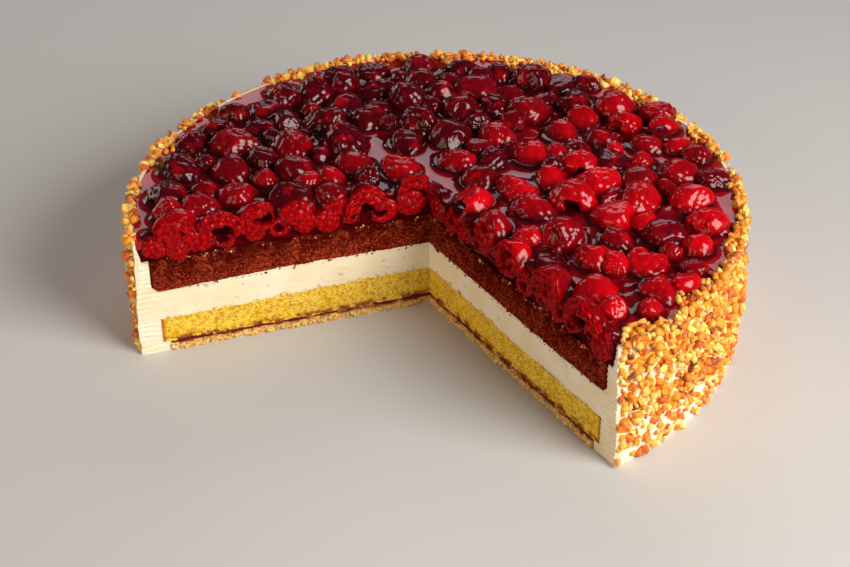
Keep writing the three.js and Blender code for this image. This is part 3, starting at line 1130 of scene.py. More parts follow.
def trim_below(work, floor):
    """Cuts a berry off at that height, drops what lies below and closes it."""
    cut = bmesh.ops.bisect_plane(
        work,
        geom=work.verts[:] + work.edges[:] + work.faces[:],
        dist=BISECT_TOLERANCE,
        plane_co=Vector((0, 0, floor)),
        plane_no=Vector((0, 0, -1)),
        clear_outer=True,
    )
    edges = [item for item in cut["geom_cut"] if isinstance(item, bmesh.types.BMEdge)]
    bmesh.ops.triangle_fill(work, edges=edges, use_beauty=True)


first_berry = berries[0]
print("the first berry is", round(2 * first_berry["radius"], 1), "mm thick")

# %% Pressing berries back at the cut
BULGE = 1.5
CORNER_REACH = 1.4
HEART_BEHIND = 0.4
NEAREST_WALL = 0.01
CAVITY_WIDTH = (0.44, 0.26)
CAVITY_REACH = (0.6, 0.3)
CAVITY_BEYOND = (0.5, 2.0)


def pressed_back(berry, places):
    """Presses what stands out of the cut faces back: how far it stood out, which way, and how flat it is."""
    outs = np.array([right_cut[1], left_cut[1]])
    offset = places[:, :2] - CUT_POINT
    beyond = offset @ outs.T
    depth = np.maximum(beyond.min(axis=1), 0)
    kept = BULGE * np.log1p(depth / BULGE)
    centre = np.array([berry["x"], berry["y"]]) - CUT_POINT
    if np.hypot(*centre) > CORNER_REACH * berry["radius"]:
        out = outs[beyond.argmin(axis=1)]
        places[:, :2] -= (depth - kept)[:, None] * out
    else:
        heart = centre - HEART_BEHIND * berry["radius"] * outs.sum(axis=0)
        start = outs @ heart
        share = np.where(start < 0, -start / np.maximum(beyond - start, NEAREST_WALL), 0)
        out = outs[share.argmax(axis=1)]
        wall = CUT_POINT + heart + (offset - heart) * share.max(axis=1)[:, None] + kept[:, None] * out
        places[:, :2] = np.where((depth > 0)[:, None], wall, places[:, :2])
    return beyond.min(axis=1), out, depth / (depth + BULGE)


def cavity_share(berry, places, beyond):
    """How far each place of a cut berry lies inside the hollow that its stalk has left."""
    centre = np.array([berry["x"], berry["y"], berry["z"]])
    own = (places - centre) @ np.array(berry_turn(berry)) / berry["radius"]
    narrow = smooth_step(*CAVITY_WIDTH, np.hypot(own[:, 0], own[:, 1]))
    return narrow * smooth_step(*CAVITY_REACH, own[:, 2]) * smooth_step(*CAVITY_BEYOND, beyond)


print("berries that stand out of a cut bulge by about", BULGE, "mm")

# %% One berry in its place
CUT_RELIEF = 0.22
CUT_RELIEF_MEAN = 0.6
TORN_DEPTHS = (-1.0, 1.5)
TORN_ROUGHNESS = 0.35
CAVITY_DEPTH = 0.3
FOOT_GLAZE_AND_SHADE_HEIGHTS = (5.5, 1.0)


def laid_berry(berry, form, floor):
    """A berry cut off under the jelly and pressed back at the cut: its places, faces and values."""
    work = bmesh.new()
    work.from_mesh(berry_forms[form % OPEN_FORMS if berry.get("opened") else form])
    bmesh.ops.transform(work, matrix=berry_matrix(berry), verts=work.verts)
    trim_below(work, floor)
    work.verts.index_update()
    places = np.array([vertex.co[:] for vertex in work.verts])
    faces = [[vertex.index for vertex in face.verts] for face in work.faces]
    values = {}
    for stored in ("furrow", "crease", "hollow", "swell"):
        layer = work.verts.layers.float[stored]
        values[stored] = np.array([vertex[layer] for vertex in work.verts])
    work.free()
    beyond, out, flattened = pressed_back(berry, places)
    swell = values.pop("swell") - CUT_RELIEF_MEAN
    places[:, :2] += (CUT_RELIEF * berry["radius"] * flattened * swell)[:, None] * out
    torn = smooth_step(*TORN_DEPTHS, beyond)
    places += (torn * TORN_ROUGHNESS * unevenness(*places.T, length=1.6, seed=105))[:, None]
    cavity = cavity_share(berry, places, beyond)
    places[:, :2] -= (cavity * CAVITY_DEPTH * berry["radius"])[:, None] * out
    above = places[:, 2] - still_level(np.hypot(places[:, 0], places[:, 1]))
    # the hollow is also painted dark in the colour, as painted shade
    values["hollow"] = np.maximum(values["hollow"], cavity)
    values["flesh"] = torn
    # darker low on a berry: partly glaze that gathers at the foot, partly painted shade
    values["sunk"] = smooth_step(*FOOT_GLAZE_AND_SHADE_HEIGHTS, above)
    return places, faces, values


print("faces left of the first berry:", len(laid_berry(first_berry, 0, POOL_LEVEL)[1]))

# %% Joining many small shapes into one piece
HIDDEN_BELOW = 0.5
SHADE_BEHIND = 0.8
BACK_SHADE_SPAN = (-40, 100)
BACK_SHADE_SLANT = 0.4


def joined_piece(name, shapes):
    """One piece from many shapes, each given by its places, faces, values and whether it is smooth."""
    vertices, faces, values, smooth = [], [], {}, []
    start = 0
    for places, own_faces, own_values, own_smooth in shapes:
        vertices.append(places)
        faces += [[start + index for index in face] for face in own_faces]
        smooth += [own_smooth] * len(own_faces)
        for stored, numbers in own_values.items():
            values.setdefault(stored, []).append(np.broadcast_to(numbers, len(places)))
        start += len(places)
    mesh = bpy.data.meshes.new(name)
    mesh.from_pydata((np.concatenate(vertices) * MM).tolist(), [], faces)
    piece = bpy.data.objects.new(name, mesh)
    bpy.context.collection.objects.link(piece)
    for stored, numbers in values.items():
        keep_value(piece, stored, np.concatenate(numbers))
    mesh.polygons.foreach_set("use_smooth", np.array(smooth))
    print(name, "has", len(shapes), "shapes and", len(faces), "faces")
    return piece


def joined_berries(name, batch, seed, floor):
    """One piece of many berries, each of a random ripeness, with painted shade that darkens them towards the
    back of the cake.
    """
    chance = np.random.default_rng(seed)
    shapes = []
    for berry in batch:
        places, faces, values = laid_berry(berry, chance.integers(FORM_COUNT), floor)
        # painted shade: berries further back are made darker, on top of their random ripeness
        behind = smooth_step(*BACK_SHADE_SPAN, berry["y"] - BACK_SHADE_SLANT * berry["x"])
        values["ripeness"] = min(chance.random() + SHADE_BEHIND * behind, 1.0)
        shapes.append((places, faces, values, True))
    return joined_piece(name, shapes)


by_size = sorted(berries, key=lambda berry: -berry["radius"])
half = len(by_size) // 2
under_pool = POOL_LEVEL - HIDDEN_BELOW
heap_pieces = [
    joined_berries("large_raspberries", by_size[:half], 80, under_pool),
    joined_berries("middling_raspberries", by_size[half:], 81, under_pool),
    joined_berries("sunken_raspberries", sunken, 82, under_pool),
    joined_berries("raspberries_at_the_cut", sliced, 83, FLAT["chocolate"] + LAYER_GAP),
    joined_berries("raspberries_at_the_rim", at_rim, 84, under_pool),
]

# %% [markdown]
# ## Chopped nuts
#
# A chopped nut breaks into small blocks with flat faces. A cube cut by random planes is just that, with a
# dozen faces, so a few thousand of them stay light. They are pressed into the cream at random, dense
# above and sparser near the foot, and spill in clumps over the rim onto the jelly. Some are shaded
# smooth, as if worn round.

# %% Nut forms
NUT_FORMS = 12
NUT_SEED = 700
NUT_CUTS = 7
NUT_CUT_DEPTHS = (0.72, 1.05)
NUT_WIDTH = (0.7, 0.95)
NUT_THICKNESS = (0.55, 0.8)


def nut_form(seed):
    """The places and faces of one chip of radius 1."""
    chance = np.random.default_rng(NUT_SEED + seed)
    bpy.ops.object.select_all(action="DESELECT")
    bpy.ops.mesh.primitive_cube_add(size=2 * MM)
    form = bpy.context.object
    bpy.ops.object.mode_set(mode="EDIT")
    for _ in range(NUT_CUTS):
        normal = Vector(chance.normal(0, 1, 3)).normalized()
        point = normal * chance.uniform(*NUT_CUT_DEPTHS) * MM
        bpy.ops.mesh.select_all(action="SELECT")
        bpy.ops.mesh.bisect(plane_co=point, plane_no=normal, use_fill=True, clear_outer=True)
    bpy.ops.object.mode_set(mode="OBJECT")
    places = mesh_places(form) * np.array([1.0, chance.uniform(*NUT_WIDTH), chance.uniform(*NUT_THICKNESS)])
    faces = [tuple(face.vertices) for face in form.data.polygons]
    bpy.data.objects.remove(form)
    return places, faces


nut_forms = [nut_form(seed) for seed in range(NUT_FORMS)]
print("nut faces:", [len(faces) for _, faces in nut_forms])

# %% Nuts on the side
SIDE_NUT_RADII = (1.1, 2.4)
SIDE_NUT_SMALLNESS = 1.6
SIDE_NUT_TOP = LIP_TOP - 0.5
SIDE_DENSITY = (0.62, 0.5)
DENSE_ABOVE = (4, 26)
SIDE_PATCHES = ((0.35, 16.0, 90),)
NUT_OVERRUN = 0.04
NUT_EDGE = 0.8
CELL = 6


def spaced(places, spacing):
    """Thins a list of (u, v, radius) places so that no two lie closer than their radii allow."""
    cells, kept = {}, []
    for u, v, radius in places:
        column, row = int(u // CELL), int(v // CELL)
        near = [
            other
            for i in (-1, 0, 1)
            for j in (-1, 0, 1)
            for other in cells.get((column + i, row + j), [])
        ]
        if all(math.hypot(u - x, v - y) > spacing * (radius + r) for x, y, r in near):
            cells.setdefault((column, row), []).append((u, v, radius))
            kept.append((u, v, radius))
    return kept


def side_nuts(seed, tries, spacing, low, stand):
    """Nuts on the cream side above a height, each standing out by that share of its radius."""
    chance = np.random.default_rng(seed)
    angles = RIGHT_ANGLE + chance.uniform(-NUT_OVERRUN, KEPT_TURN + NUT_OVERRUN, tries)
    heights = chance.uniform(low, SIDE_NUT_TOP, tries)
    radii = between(SIDE_NUT_RADII, chance.random(tries) ** SIDE_NUT_SMALLNESS)
    density = SIDE_DENSITY[0] + SIDE_DENSITY[1] * smooth_step(*DENSE_ABOVE, heights)
    x, y = CREAM_RADIUS * np.cos(angles), CREAM_RADIUS * np.sin(angles)
    density += waves(x, y, heights, SIDE_PATCHES)
    wanted = chance.random(tries) < density
    chosen = zip((angles * CREAM_RADIUS)[wanted], heights[wanted], radii[wanted])
    nuts = []
    for arc, height, radius in spaced(chosen, spacing):
        x, y = round_place(float(side_radius(height)) + stand * radius, arc / CREAM_RADIUS)
        if depth_in_gap(x, y) < -NUT_EDGE:
            nuts.append((x, y, height, radius))
    return nuts


pressed_nuts = side_nuts(seed=90, tries=12000, spacing=0.72, low=1.6, stand=0.25)
loose_nuts = side_nuts(seed=91, tries=1300, spacing=0.85, low=20, stand=1.1)
print("nuts pressed into the side:", len(pressed_nuts), "and on top of them:", len(loose_nuts))

# %% Nuts along the rim
RIM_NUT_RADII = (1.1, 2.3)
RIM_NUT_SPACING = 0.62
RIM_NUT_LIFT = 0.35
RIM_NUT_TO_BERRY = 0.75
RIM_NUT_MARGIN = 0.01
CLUMP_LENGTH = 13
CLUMP_SHIFT = Vector((3.1, 0, 0))
BARE_BELOW, BARER_ON_LEFT = -0.34, 0.2
CLUMP_WIDTH, CLUMP_SPILL, SPILL_FROM = 4.0, 18.0, 0.25
SPILL_POWER = 1.5
RIM_NUT_OUTWARD = 2.0


def rim_nuts(seed, tries):
    """Nuts along the rim, in clumps that spill inwards over the jelly."""
    chance = np.random.default_rng(seed)
    places = []
    for _ in range(tries):
        angle = RIGHT_ANGLE + chance.uniform(RIM_NUT_MARGIN, KEPT_TURN - RIM_NUT_MARGIN)
        x, y = round_place(LIP_OUTER, angle)
        clump = noise.noise(Vector((x, y, 0)) / CLUMP_LENGTH + CLUMP_SHIFT)
        bare = BARE_BELOW + BARER_ON_LEFT * max(0.0, -math.cos(angle))
        if clump < bare:
            continue
        width = CLUMP_WIDTH + CLUMP_SPILL * max(clump - bare - SPILL_FROM, 0)
        inward = width * chance.random() ** SPILL_POWER
        places.append((angle * LIP_OUTER, inward - RIM_NUT_OUTWARD, chance.uniform(*RIM_NUT_RADII)))
    nuts = []
    for arc, inward, radius in spaced(places, RIM_NUT_SPACING):
        distance = LIP_OUTER - inward
        x, y = round_place(distance, arc / LIP_OUTER)
        if not free_of(at_rim, x, y, radius, RIM_NUT_TO_BERRY):
            continue
        level = pool_height(np.array([x]), np.array([y]))[0][0] if distance < LIP_INNER else LIP_TOP
        nuts.append((x, y, level + RIM_NUT_LIFT * radius, radius))
    return nuts


spilled_nuts = rim_nuts(seed=94, tries=3000)
print("nuts along the rim:", len(spilled_nuts))

# %% Joined nuts
ROUNDED_SHARE = 0.55
LOWEST_CHIP = 0.2


def joined_nuts(name, nuts, seed):
    """One piece of many chips, each turned at random and given a roast from pale to dark."""
    chance = np.random.default_rng(seed)
    shapes = []
    for x, y, z, radius in nuts:
        places, faces = nut_forms[chance.integers(NUT_FORMS)]
        rotation = np.array(Quaternion(chance.normal(0, 1, 4)).normalized().to_matrix())
        turned = (places @ rotation.T) * radius + np.array([x, y, z])
        turned[:, 2] = np.maximum(turned[:, 2], LOWEST_CHIP)
        rounded = chance.random() < ROUNDED_SHARE
        shapes.append((turned, faces, {"roast": chance.random(), "height": turned[:, 2]}, rounded))
    return joined_piece(name, shapes)


nut_pieces = [
    joined_nuts("side_nuts", pressed_nuts, 92),
    joined_nuts("upper_nuts", loose_nuts, 93),
    joined_nuts("rim_nuts", spilled_nuts, 95),
]

# %% [markdown]
# ## Crumbs
#
# A knife drags crumbs along. Small chips of the base hang on its broken lower edge, a few crumbs of each
# sponge stick to the cream beside it, and some pale ones lie along the top of the chocolate sponge. They
# are the nuts' chips again, much smaller.

# %% Crumbs along the cuts
CRUMB_STAND = 0.1
CRUMB_SMALLNESS = 2
CRUMB_REACHES = (4, CRUST_RADIUS - 1)
FINE_CRUMBS = (0.2, 0.65)


def near_seam(name, below, above):
    """A range of heights about a flat seam."""
    return FLAT[name] - below, FLAT[name] + above


CRUMBS = {
    "shortcrust_crumbs": dict(seed=110, count=260, heights=(0.5, 3.0), sizes=(0.4, 1.3)),
    "vanilla_crumbs": dict(seed=112, count=60, heights=near_seam("vanilla", 0.4, 1.2), sizes=(0.25, 0.7)),
    "chocolate_crumbs": dict(seed=114, count=45, heights=near_seam("cream", 1.3, 0.4), sizes=FINE_CRUMBS),
    "pale_crumbs": dict(seed=116, count=45, heights=near_seam("chocolate", 1.6, 0.6), sizes=FINE_CRUMBS),
}


def crumbs_at_cut(seed, count, heights, sizes):
    """Crumbs on both cut faces between two flat heights: position and radius of each."""
    chance = np.random.default_rng(seed)
    crumbs = []
    for along, out in (right_cut, left_cut):
        distance = chance.uniform(*CRUMB_REACHES, count)
        flat = between(heights, chance.random(count))
        radii = between(sizes, chance.random(count) ** CRUMB_SMALLNESS)
        x, y = (CUT_POINT + distance[:, None] * along + out * CRUMB_STAND).T
        crumbs += list(zip(x, y, settled(x, y, flat), radii))
    return crumbs


crumb_pieces = {}
for name, rule in CRUMBS.items():
    crumb_pieces[name] = joined_nuts(name, crumbs_at_cut(**rule), rule["seed"] + 1)

# %% [markdown]
# ## Finishes
#
# A material is a small sum of noises. The wrapper below lets that sum be written as a sum: adding or
# multiplying two sockets makes the Math node for it. The grain runs on Object coordinates, in metres, so
# it has its true size on the cake, and what belongs to one place is a number stored on the mesh.

# %% Sockets that can be added and multiplied
class Socket:
    """A node's output that can stand in a formula."""

    def __init__(self, finish, link):
        self.finish, self.link = finish, link

    def maths(self, operation, first, second):
        return self.finish.node("ShaderNodeMath", {"operation": operation}, {0: first, 1: second})

    def __add__(self, other):
        return self.maths("ADD", self, other)

    def __sub__(self, other):
        return self.maths("SUBTRACT", self, other)

    def __rsub__(self, other):
        return self.maths("SUBTRACT", other, self)

    def __mul__(self, other):
        return self.maths("MULTIPLY", self, other)

    __radd__, __rmul__ = __add__, __mul__


def colour(red, green, blue):
    """A colour as it looks on the screen, from 0 to 255, as the linear light that shaders use."""
    screen = np.array([red, green, blue]) / 255
    linear = np.where(screen > 0.04045, ((screen + 0.055) / 1.055) ** 2.4, screen / 12.92)
    return (*linear.tolist(), 1.0)


print("mid grey on the screen is", round(colour(128, 128, 128)[0], 3), "of full light")

# %% A material under construction
class Finish:
    """A material's nodes; sizes are in millimetres."""

    def __init__(self, name):
        self.material = bpy.data.materials.new(name)
        self.material.use_nodes = True
        self.tree = self.material.node_tree
        self.tree.nodes.clear()

    def node(self, kind, settings=None, sockets=None, gives=0):
        """Adds a node, sets or links its inputs, and gives one of its outputs."""
        made = self.tree.nodes.new(kind)
        for key, value in (settings or {}).items():
            setattr(made, key, value)
        for key, value in (sockets or {}).items():
            if isinstance(value, Socket):
                self.tree.links.new(value.link, made.inputs[key])
            else:
                made.inputs[key].default_value = value
        return Socket(self, made.outputs[gives]) if made.outputs else None

    def noise(self, place, scale, detail):
        return self.node("ShaderNodeTexNoise", sockets={"Vector": place, "Scale": scale, "Detail": detail})

    def grain(self, size, detail=2.0, stretch=(1, 1, 1)):
        """Noise from 0 to 1 whose spots are about that wide."""
        place = self.node("ShaderNodeTexCoord", gives=3)
        scaled = self.node("ShaderNodeVectorMath", {"operation": "MULTIPLY"}, {0: place, 1: stretch})
        return self.noise(scaled, 1 / (size * MM), detail)

    def stored(self, name):
        """A number stored on the mesh."""
        return self.node("ShaderNodeAttribute", {"attribute_name": name}, gives=2)

    def ramp(self, value, low, high):
        limits = {"Value": value, "From Min": low, "From Max": high}
        return self.node("ShaderNodeMapRange", {"interpolation_type": "SMOOTHSTEP"}, limits)

    def patches(self, size, detail, low, high, stretch=(1, 1, 1)):
        """Soft spots of grain: 0 where the grain is under low, 1 where it is over high."""
        return self.ramp(self.grain(size, detail, stretch), low, high)

    def mix(self, share, first, second):
        return self.node("ShaderNodeMix", {"data_type": "RGBA"}, {0: share, 6: first, 7: second}, gives=2)

    def coats(self, base, *coats):
        """Lays colours over a base in turn; each coat is a mask, how strong it is, and a colour."""
        for mask, strength, over in coats:
            base = self.mix(mask if strength == 1 else mask * strength, base, over)
        return base

    def bump(self, height, distance, strength=1.0):
        sockets = {"Height": height, "Distance": distance * MM, "Strength": strength}
        return self.node("ShaderNodeBump", sockets=sockets)

    def surface(self, **sockets):
        named = {name.replace("_", " "): value for name, value in sockets.items()}
        shader = self.node("ShaderNodeBsdfPrincipled", sockets=named)
        self.node("ShaderNodeOutputMaterial", sockets={"Surface": shader})
        print("finish:", self.material.name, "with", len(self.tree.nodes), "nodes")
        return self.material


print("a finish can use", ", ".join(name for name in vars(Finish) if not name.startswith("_")))

# %% [markdown]
# ## Crumb
#
# Both sponges and the shortcrust are crumb: a main tone with pale and dark specks, pits painted darker as
# shade, a baked rind at the outer edge, and juice that has soaked in from the jam or the jelly. In the
# chocolate that soaked top is darkened further, as painted shade under the berries. One function makes
# all three, and only the colours, the share of pale specks and the stained heights differ. Baked things
# come out too red easily, so the two pale ones lean to yellow.

# %% Crumb finishes
def crumb_finish(name, pale, main, speck_and_pit_shade, rind, speck_share, stain, stain_heights):
    """Crumb with pale and dark specks, a baked rind, and juice that has soaked in between two heights."""
    finish = Finish(name)
    patch = finish.patches(size=9, detail=3, low=0.3, high=0.7)
    speck = finish.patches(size=0.9, detail=2, low=0.45, high=0.65)
    dark_speck = finish.patches(size=1.2, detail=2, low=0.52, high=0.66, stretch=(1.3, 1.3, 1.3))
    soaked = finish.ramp(finish.stored("height"), *stain_heights)
    soaked = soaked * finish.patches(size=5, detail=4, low=0.4, high=0.54)
    base = finish.coats(
        finish.mix(patch * 0.3 + speck * speck_share, main, pale),
        (dark_speck, 0.7, speck_and_pit_shade),
        # painted shade: the pits are made darker
        (finish.stored("pore"), 0.7, speck_and_pit_shade),
        (soaked, 0.85, stain),
        (finish.stored("rind"), 0.8, rind),
    )
    return finish.surface(
        Base_Color=base,
        Roughness=0.85,
        Normal=finish.bump(finish.grain(0.45, 3), distance=0.25, strength=0.8),
        Subsurface_Weight=0.08,
        Subsurface_Radius=(1.0, 0.6, 0.3),
        Subsurface_Scale=1.5 * MM,
        Specular_IOR_Level=0.0,
    )


shortcrust_finish = crumb_finish(
    "pale_baked_crumb",
    pale=colour(255, 228, 160),
    main=colour(236, 186, 100),
    speck_and_pit_shade=colour(178, 116, 46),
    rind=colour(160, 92, 36),
    speck_share=0.6,
    stain=colour(112, 8, 12),
    stain_heights=(FLAT["crust"] - 1.5, FLAT["crust"]),
)
vanilla_finish = crumb_finish(
    "yellow_crumb",
    pale=colour(252, 228, 116),
    main=colour(238, 190, 46),
    speck_and_pit_shade=colour(186, 128, 16),
    rind=colour(176, 92, 20),
    speck_share=0.6,
    stain=colour(130, 24, 16),
    stain_heights=(FLAT["jam"] + 3.4, FLAT["jam"] + 0.8),
)
chocolate_finish = crumb_finish(
    "dark_brown_crumb",
    pale=colour(184, 74, 42),
    main=colour(96, 14, 9),
    speck_and_pit_shade=colour(40, 5, 4),
    rind=colour(70, 14, 10),
    speck_share=0.65,
    # the soaked top is made very dark: partly jelly juice, partly painted shade under the berries
    stain=colour(58, 1, 4),
    stain_heights=(FLAT["cream"] + 1, FLAT["chocolate"]),
)

# %% [markdown]
# ## Cream and jam
#
# Whipped cream is nearly one colour, so its knife marks do the work: a noise stretched along the cut,
# read from the distance and height that are stored on the mesh. The jam is dark with pale gaps where the
# film is thin.

# %% Cream and jam finishes
KNIFE_ALONG, KNIFE_UP = 0.12, 1.6


def cream_look():
    """Ivory cream with the knife's fine lines."""
    cream_coat = Finish("ivory_cream")
    tone = cream_coat.patches(size=14, detail=3, low=0.3, high=0.7)
    base = cream_coat.mix(tone, colour(251, 238, 212), colour(245, 226, 188))
    # painted shade: the air holes in the cut are made darker
    base = cream_coat.coats(base, (cream_coat.stored("pore"), 0.6, colour(176, 130, 74)))
    knife_way = {0: cream_coat.stored("along") * KNIFE_ALONG, 1: cream_coat.stored("height") * KNIFE_UP}
    knife_place = cream_coat.node("ShaderNodeCombineXYZ", sockets=knife_way)
    knife_lines = cream_coat.noise(knife_place, scale=1.0, detail=3.0)
    return cream_coat.surface(
        Base_Color=base,
        Roughness=0.55,
        Subsurface_Weight=0.25,
        Subsurface_Radius=(1.0, 0.8, 0.5),
        Subsurface_Scale=3 * MM,
        Normal=cream_coat.bump(knife_lines + cream_coat.grain(1.6, 3) * 0.5, distance=0.9, strength=0.55),
        Specular_IOR_Level=0.3,
    )


def jam_look():
    """A dark red film with pale gaps."""
    film = Finish("dark_red_jam")
    base = film.mix(film.grain(2.5, 2), colour(120, 6, 10), colour(62, 2, 6))
    thin_places = film.patches(size=7, detail=3, low=0.52, high=0.62)
    return film.surface(
        Base_Color=film.coats(base, (thin_places, 0.75, colour(214, 142, 84))),
        Roughness=0.4,
        Specular_IOR_Level=0.2,
        Coat_Weight=0.25,
        Coat_Roughness=0.15,
    )


cream_finish = cream_look()
jam_finish = jam_look()

# %% [markdown]
# ## Jelly and raspberries
#
# The jelly could be clear matter with fruit inside, but light takes long to find its way through that. A
# dense deep red under a clear coat looks the same from above: lighter at the thin rim and over covered
# fruit, and painted almost black beside a berry as painted shade. The berries have a clear coat too, a
# little duller. Their skin is darker in the creases and at the foot, partly glaze that gathers there and
# partly painted shade; their hollows are painted dark as shade, and their cut flesh shines less.

# %% Jelly and raspberry finishes
def jelly_look():
    """Deep red under a clear coat, with painted shade that makes it darkest beside a berry."""
    pool = Finish("clear_red_jelly")
    depth = pool.patches(size=10, detail=2, low=0.3, high=0.7)
    cut_share = pool.stored("pore")
    base = pool.coats(
        pool.mix(depth, colour(140, 0, 13), colour(92, 0, 8)),
        (pool.stored("thin"), 0.7, colour(168, 8, 26)),
        (pool.stored("shows"), 0.6, colour(128, 1, 13)),
        # painted shade: the jelly is made almost black beside a berry
        (pool.ramp(pool.stored("cover"), 0.3, 0.8), 0.85, colour(30, 0, 3)),
        (cut_share, 0.85, colour(72, 0, 5)),
    )
    return pool.surface(
        Base_Color=base,
        Roughness=0.5,
        Coat_Weight=0.72 - cut_share * 0.67,
        Coat_Roughness=0.05,
        Specular_IOR_Level=0.0,
        Normal=pool.bump(pool.grain(4, 2), distance=0.25, strength=0.4),
    )


def berry_look():
    """Glazed skin, and duller flesh where the knife went through."""
    berry = Finish("glazed_raspberry")
    hollow, cut_share = berry.stored("hollow"), berry.stored("flesh")
    skin = berry.coats(
        # a random ripeness and painted shade towards the back darken the skin
        berry.mix(berry.stored("ripeness"), colour(206, 2, 15), colour(76, 0, 10)),
        # darker creases: partly dark juice, partly painted shade between the drupelets
        (berry.stored("crease"), 0.4, colour(60, 0, 6)),
        (berry.patches(size=6, detail=2, low=0.5, high=0.75), 0.5, colour(206, 4, 16)),
        # darker low on a berry: partly glaze at the foot, partly painted shade
        (berry.stored("sunk"), 0.75, colour(38, 0, 4)),
        # painted shade: an open end's hollow is made nearly black
        (hollow, 1, colour(46, 0, 4)),
    )
    flesh_tone = berry.patches(size=2.2, detail=2, low=0.35, high=0.7)
    flesh = berry.coats(
        berry.mix(flesh_tone, colour(176, 2, 8), colour(132, 0, 5)),
        # darker furrows in the cut flesh: partly dark juice, partly painted shade
        (berry.stored("furrow"), 0.6, colour(84, 0, 5)),
        # painted shade in the hollow of a cut berry
        (hollow, 1, colour(34, 0, 3)),
    )
    return berry.surface(
        Base_Color=berry.mix(cut_share, skin, flesh),
        Roughness=0.5,
        Coat_Weight=0.6 - cut_share * 0.4 - hollow * 0.55,
        Coat_Roughness=0.14,
        Specular_IOR_Level=0.0,
        Subsurface_Weight=0.1,
        Subsurface_Radius=(1.0, 0.1, 0.08),
        Subsurface_Scale=2 * MM,
        Normal=berry.bump(berry.grain(1.8, 3), distance=0.35, strength=0.5),
    )


jelly_finish = jelly_look()
berry_finish = berry_look()

# %% [markdown]
# ## Roasted nuts
#
# No two chips are roasted alike, so each one carries its own number, from pale gold to dark brown, and
# only a few are very dark. Browned and pale patches then run over each chip.

# %% Nut finish
def nut_look():
    """Chips from pale gold to dark brown, with browned patches."""
    nut = Finish("roasted_nut")
    roast = nut.stored("roast")
    base = nut.coats(
        nut.mix(nut.ramp(roast, 0.1, 0.5), colour(255, 214, 104), colour(240, 154, 30)),
        (nut.ramp(roast, 0.55, 0.92), 1, colour(206, 92, 8)),
        (nut.ramp(roast, 0.92, 1.0), 1, colour(140, 56, 8)),
        (nut.patches(size=2.4, detail=2, low=0.54, high=0.66), 0.6, colour(196, 84, 8)),
        (nut.patches(size=1.6, detail=3, low=0.5, high=0.8), 0.25, colour(255, 228, 146)),
    )
    return nut.surface(
        Base_Color=base,
        Roughness=0.5,
        Subsurface_Weight=0.1,
        Subsurface_Scale=1.5 * MM,
        Normal=nut.bump(nut.grain(0.8, 3), distance=0.2, strength=0.5),
    )


nut_finish = nut_look()

# %% [markdown]
# ## Handing the pieces to the frame
#
# Each piece rides on the cake, gets its finish, and hides the plain solid that it stands for.

# %% Every piece: its solid, slot and finish
dressed_pieces = [
    (crust, "shortcrust_base", "shortcrust", shortcrust_finish),
    (jam, "raspberry_jam", "jam", jam_finish),
    (vanilla, "vanilla_sponge", "vanilla_crumb", vanilla_finish),
    (cream, "whipped_cream", "cream", cream_finish),
    (chocolate, "chocolate_sponge", "chocolate_crumb", chocolate_finish),
    (jelly, "raspberry_topping", "jelly", jelly_finish),
    *((piece, "raspberry_topping", "raspberry", berry_finish) for piece in heap_pieces),
    *((piece, "whipped_cream", "nut", nut_finish) for piece in nut_pieces),
    (crumb_pieces["shortcrust_crumbs"], "shortcrust_base", "shortcrust", shortcrust_finish),
    (crumb_pieces["pale_crumbs"], "chocolate_sponge", "shortcrust", shortcrust_finish),
    (crumb_pieces["vanilla_crumbs"], "vanilla_sponge", "vanilla_crumb", vanilla_finish),
    (crumb_pieces["chocolate_crumbs"], "chocolate_sponge", "chocolate_crumb", chocolate_finish),
]
for piece, node, slot, finish in dressed_pieces:
    piece.data.materials.clear()
    piece.data.materials.append(finish)
    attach(piece, "root")
    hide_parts(node)
    piece.data.calc_loop_triangles()
    print(piece.name, "has", len(piece.data.loop_triangles), "triangles")

# %% [markdown]
# ## Floor, light and camera
#
# The cake stands on a plain pale floor. One bright soft lamp from the right lights the nuts and leaves
# the right-hand cut in shade, where a weak warm lamp from the left fills it. A large pale panel behind
# and above shows as grey streaks in the jelly, and a low light behind lifts the far side. Their beams are
# narrowed, so that less light comes back from the floor. The camera stands where the photograph was taken
# from.

# %% Floor
FLOOR_SIZE = 40
FLOOR_COLOUR = colour(206, 205, 203)
bpy.ops.object.select_all(action="DESELECT")
bpy.ops.mesh.primitive_plane_add(size=FLOOR_SIZE)
floor = bpy.context.object
floor.name = "floor"
floor_look = Finish("pale_floor")
floor_finish = floor_look.surface(Base_Color=FLOOR_COLOUR, Roughness=0.9, Specular_IOR_Level=0.1)
floor.data.materials.append(floor_finish)
print("the floor is", FLOOR_SIZE, "m wide")

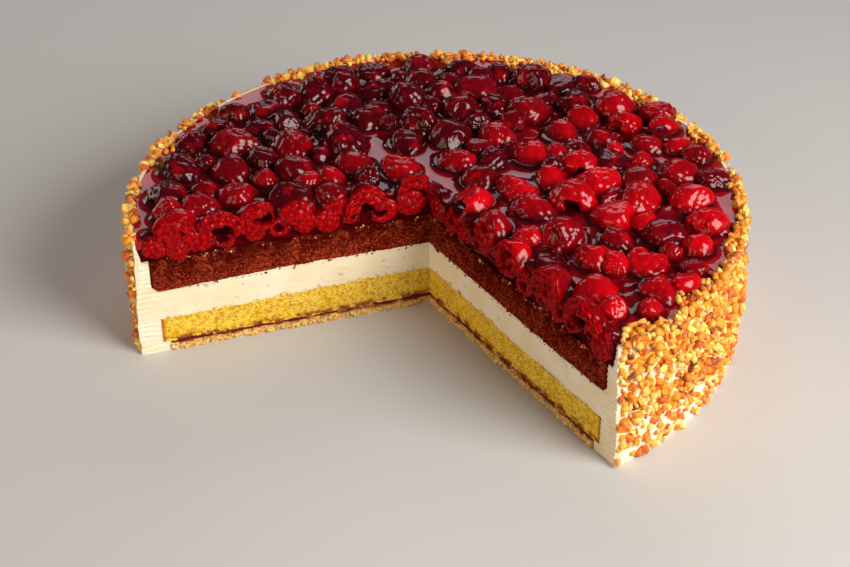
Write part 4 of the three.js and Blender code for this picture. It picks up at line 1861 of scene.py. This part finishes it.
# %% Lamps and world
LAMP_SPREAD = math.radians(110)
WORLD_COLOUR = (0.9, 0.93, 1.0, 1.0)
WORLD_STRENGTH = 0.08
LAMPS = {
    "key_from_the_right": dict(
        place=(0.79, -0.6, 0.62), aim=(0.02, -0.02, 0.03), size=(0.72, 0.72), power=7.4, tint=(1.0, 0.96, 0.9)
    ),
    "panel_behind": dict(
        place=(0.1, 1.45, 0.96), aim=(0, 0, 0.05), size=(1.2, 0.65), power=2.2, tint=(1.0, 0.91, 0.97)
    ),
    "fill_from_the_left": dict(
        place=(-1.0, -0.95, 0.55), aim=(0, 0, 0.03), size=(0.9, 0.9), power=2.6, tint=(1.0, 0.82, 0.61)
    ),
    "low_light_behind": dict(
        place=(-1.1, 0.95, 0.3), aim=(0, 0, 0.03), size=(0.9, 0.5), power=1.5, tint=(1.0, 0.95, 0.9)
    ),
}


def soft_lamp(name, place, aim, size, power, tint):
    """A rectangular lamp that shines from its place towards its aim."""
    bpy.ops.object.light_add(type="AREA", location=place)
    lamp = bpy.context.object
    lamp.name = name
    lamp.data.shape = "RECTANGLE"
    lamp.data.size, lamp.data.size_y = size
    lamp.data.energy = power
    lamp.data.color = tint
    lamp.data.spread = LAMP_SPREAD
    lamp.rotation_euler = (Vector(aim) - Vector(place)).to_track_quat("-Z", "Y").to_euler()


for name, settings in LAMPS.items():
    soft_lamp(name, **settings)
world = bpy.data.worlds.new("studio")
bpy.context.scene.world = world
world.use_nodes = True
world.node_tree.nodes["Background"].inputs["Color"].default_value = WORLD_COLOUR
world.node_tree.nodes["Background"].inputs["Strength"].default_value = WORLD_STRENGTH
bpy.context.scene.view_settings.view_transform = "Standard"
bpy.context.scene.view_settings.look = "None"
print("lamps:", ", ".join(LAMPS))

# %% Camera
CAMERA_PLACE = Vector((-4.853, -641.790, 455.284)) * MM
CAMERA_AIM = Vector((-4.853, 5.358, 8.137)) * MM
CAMERA_ROLL = math.radians(-0.734)
CAMERA_LENS = 71.25
SENSOR_WIDTH = 36
bpy.ops.object.camera_add(location=CAMERA_PLACE)
camera = bpy.context.object
camera.data.lens = CAMERA_LENS
camera.data.sensor_width = SENSOR_WIDTH
camera.data.sensor_fit = "HORIZONTAL"
facing = (CAMERA_AIM - CAMERA_PLACE).to_track_quat("-Z", "Y").to_matrix()
camera.rotation_euler = (facing @ Matrix.Rotation(CAMERA_ROLL, 3, "Z")).to_euler()
bpy.context.scene.camera = camera
print("camera stands", round((CAMERA_AIM - CAMERA_PLACE).length, 3), "m from the cake")

# %% [markdown]
# ## The size
#
# The dressed cake must stay the size of the frame.
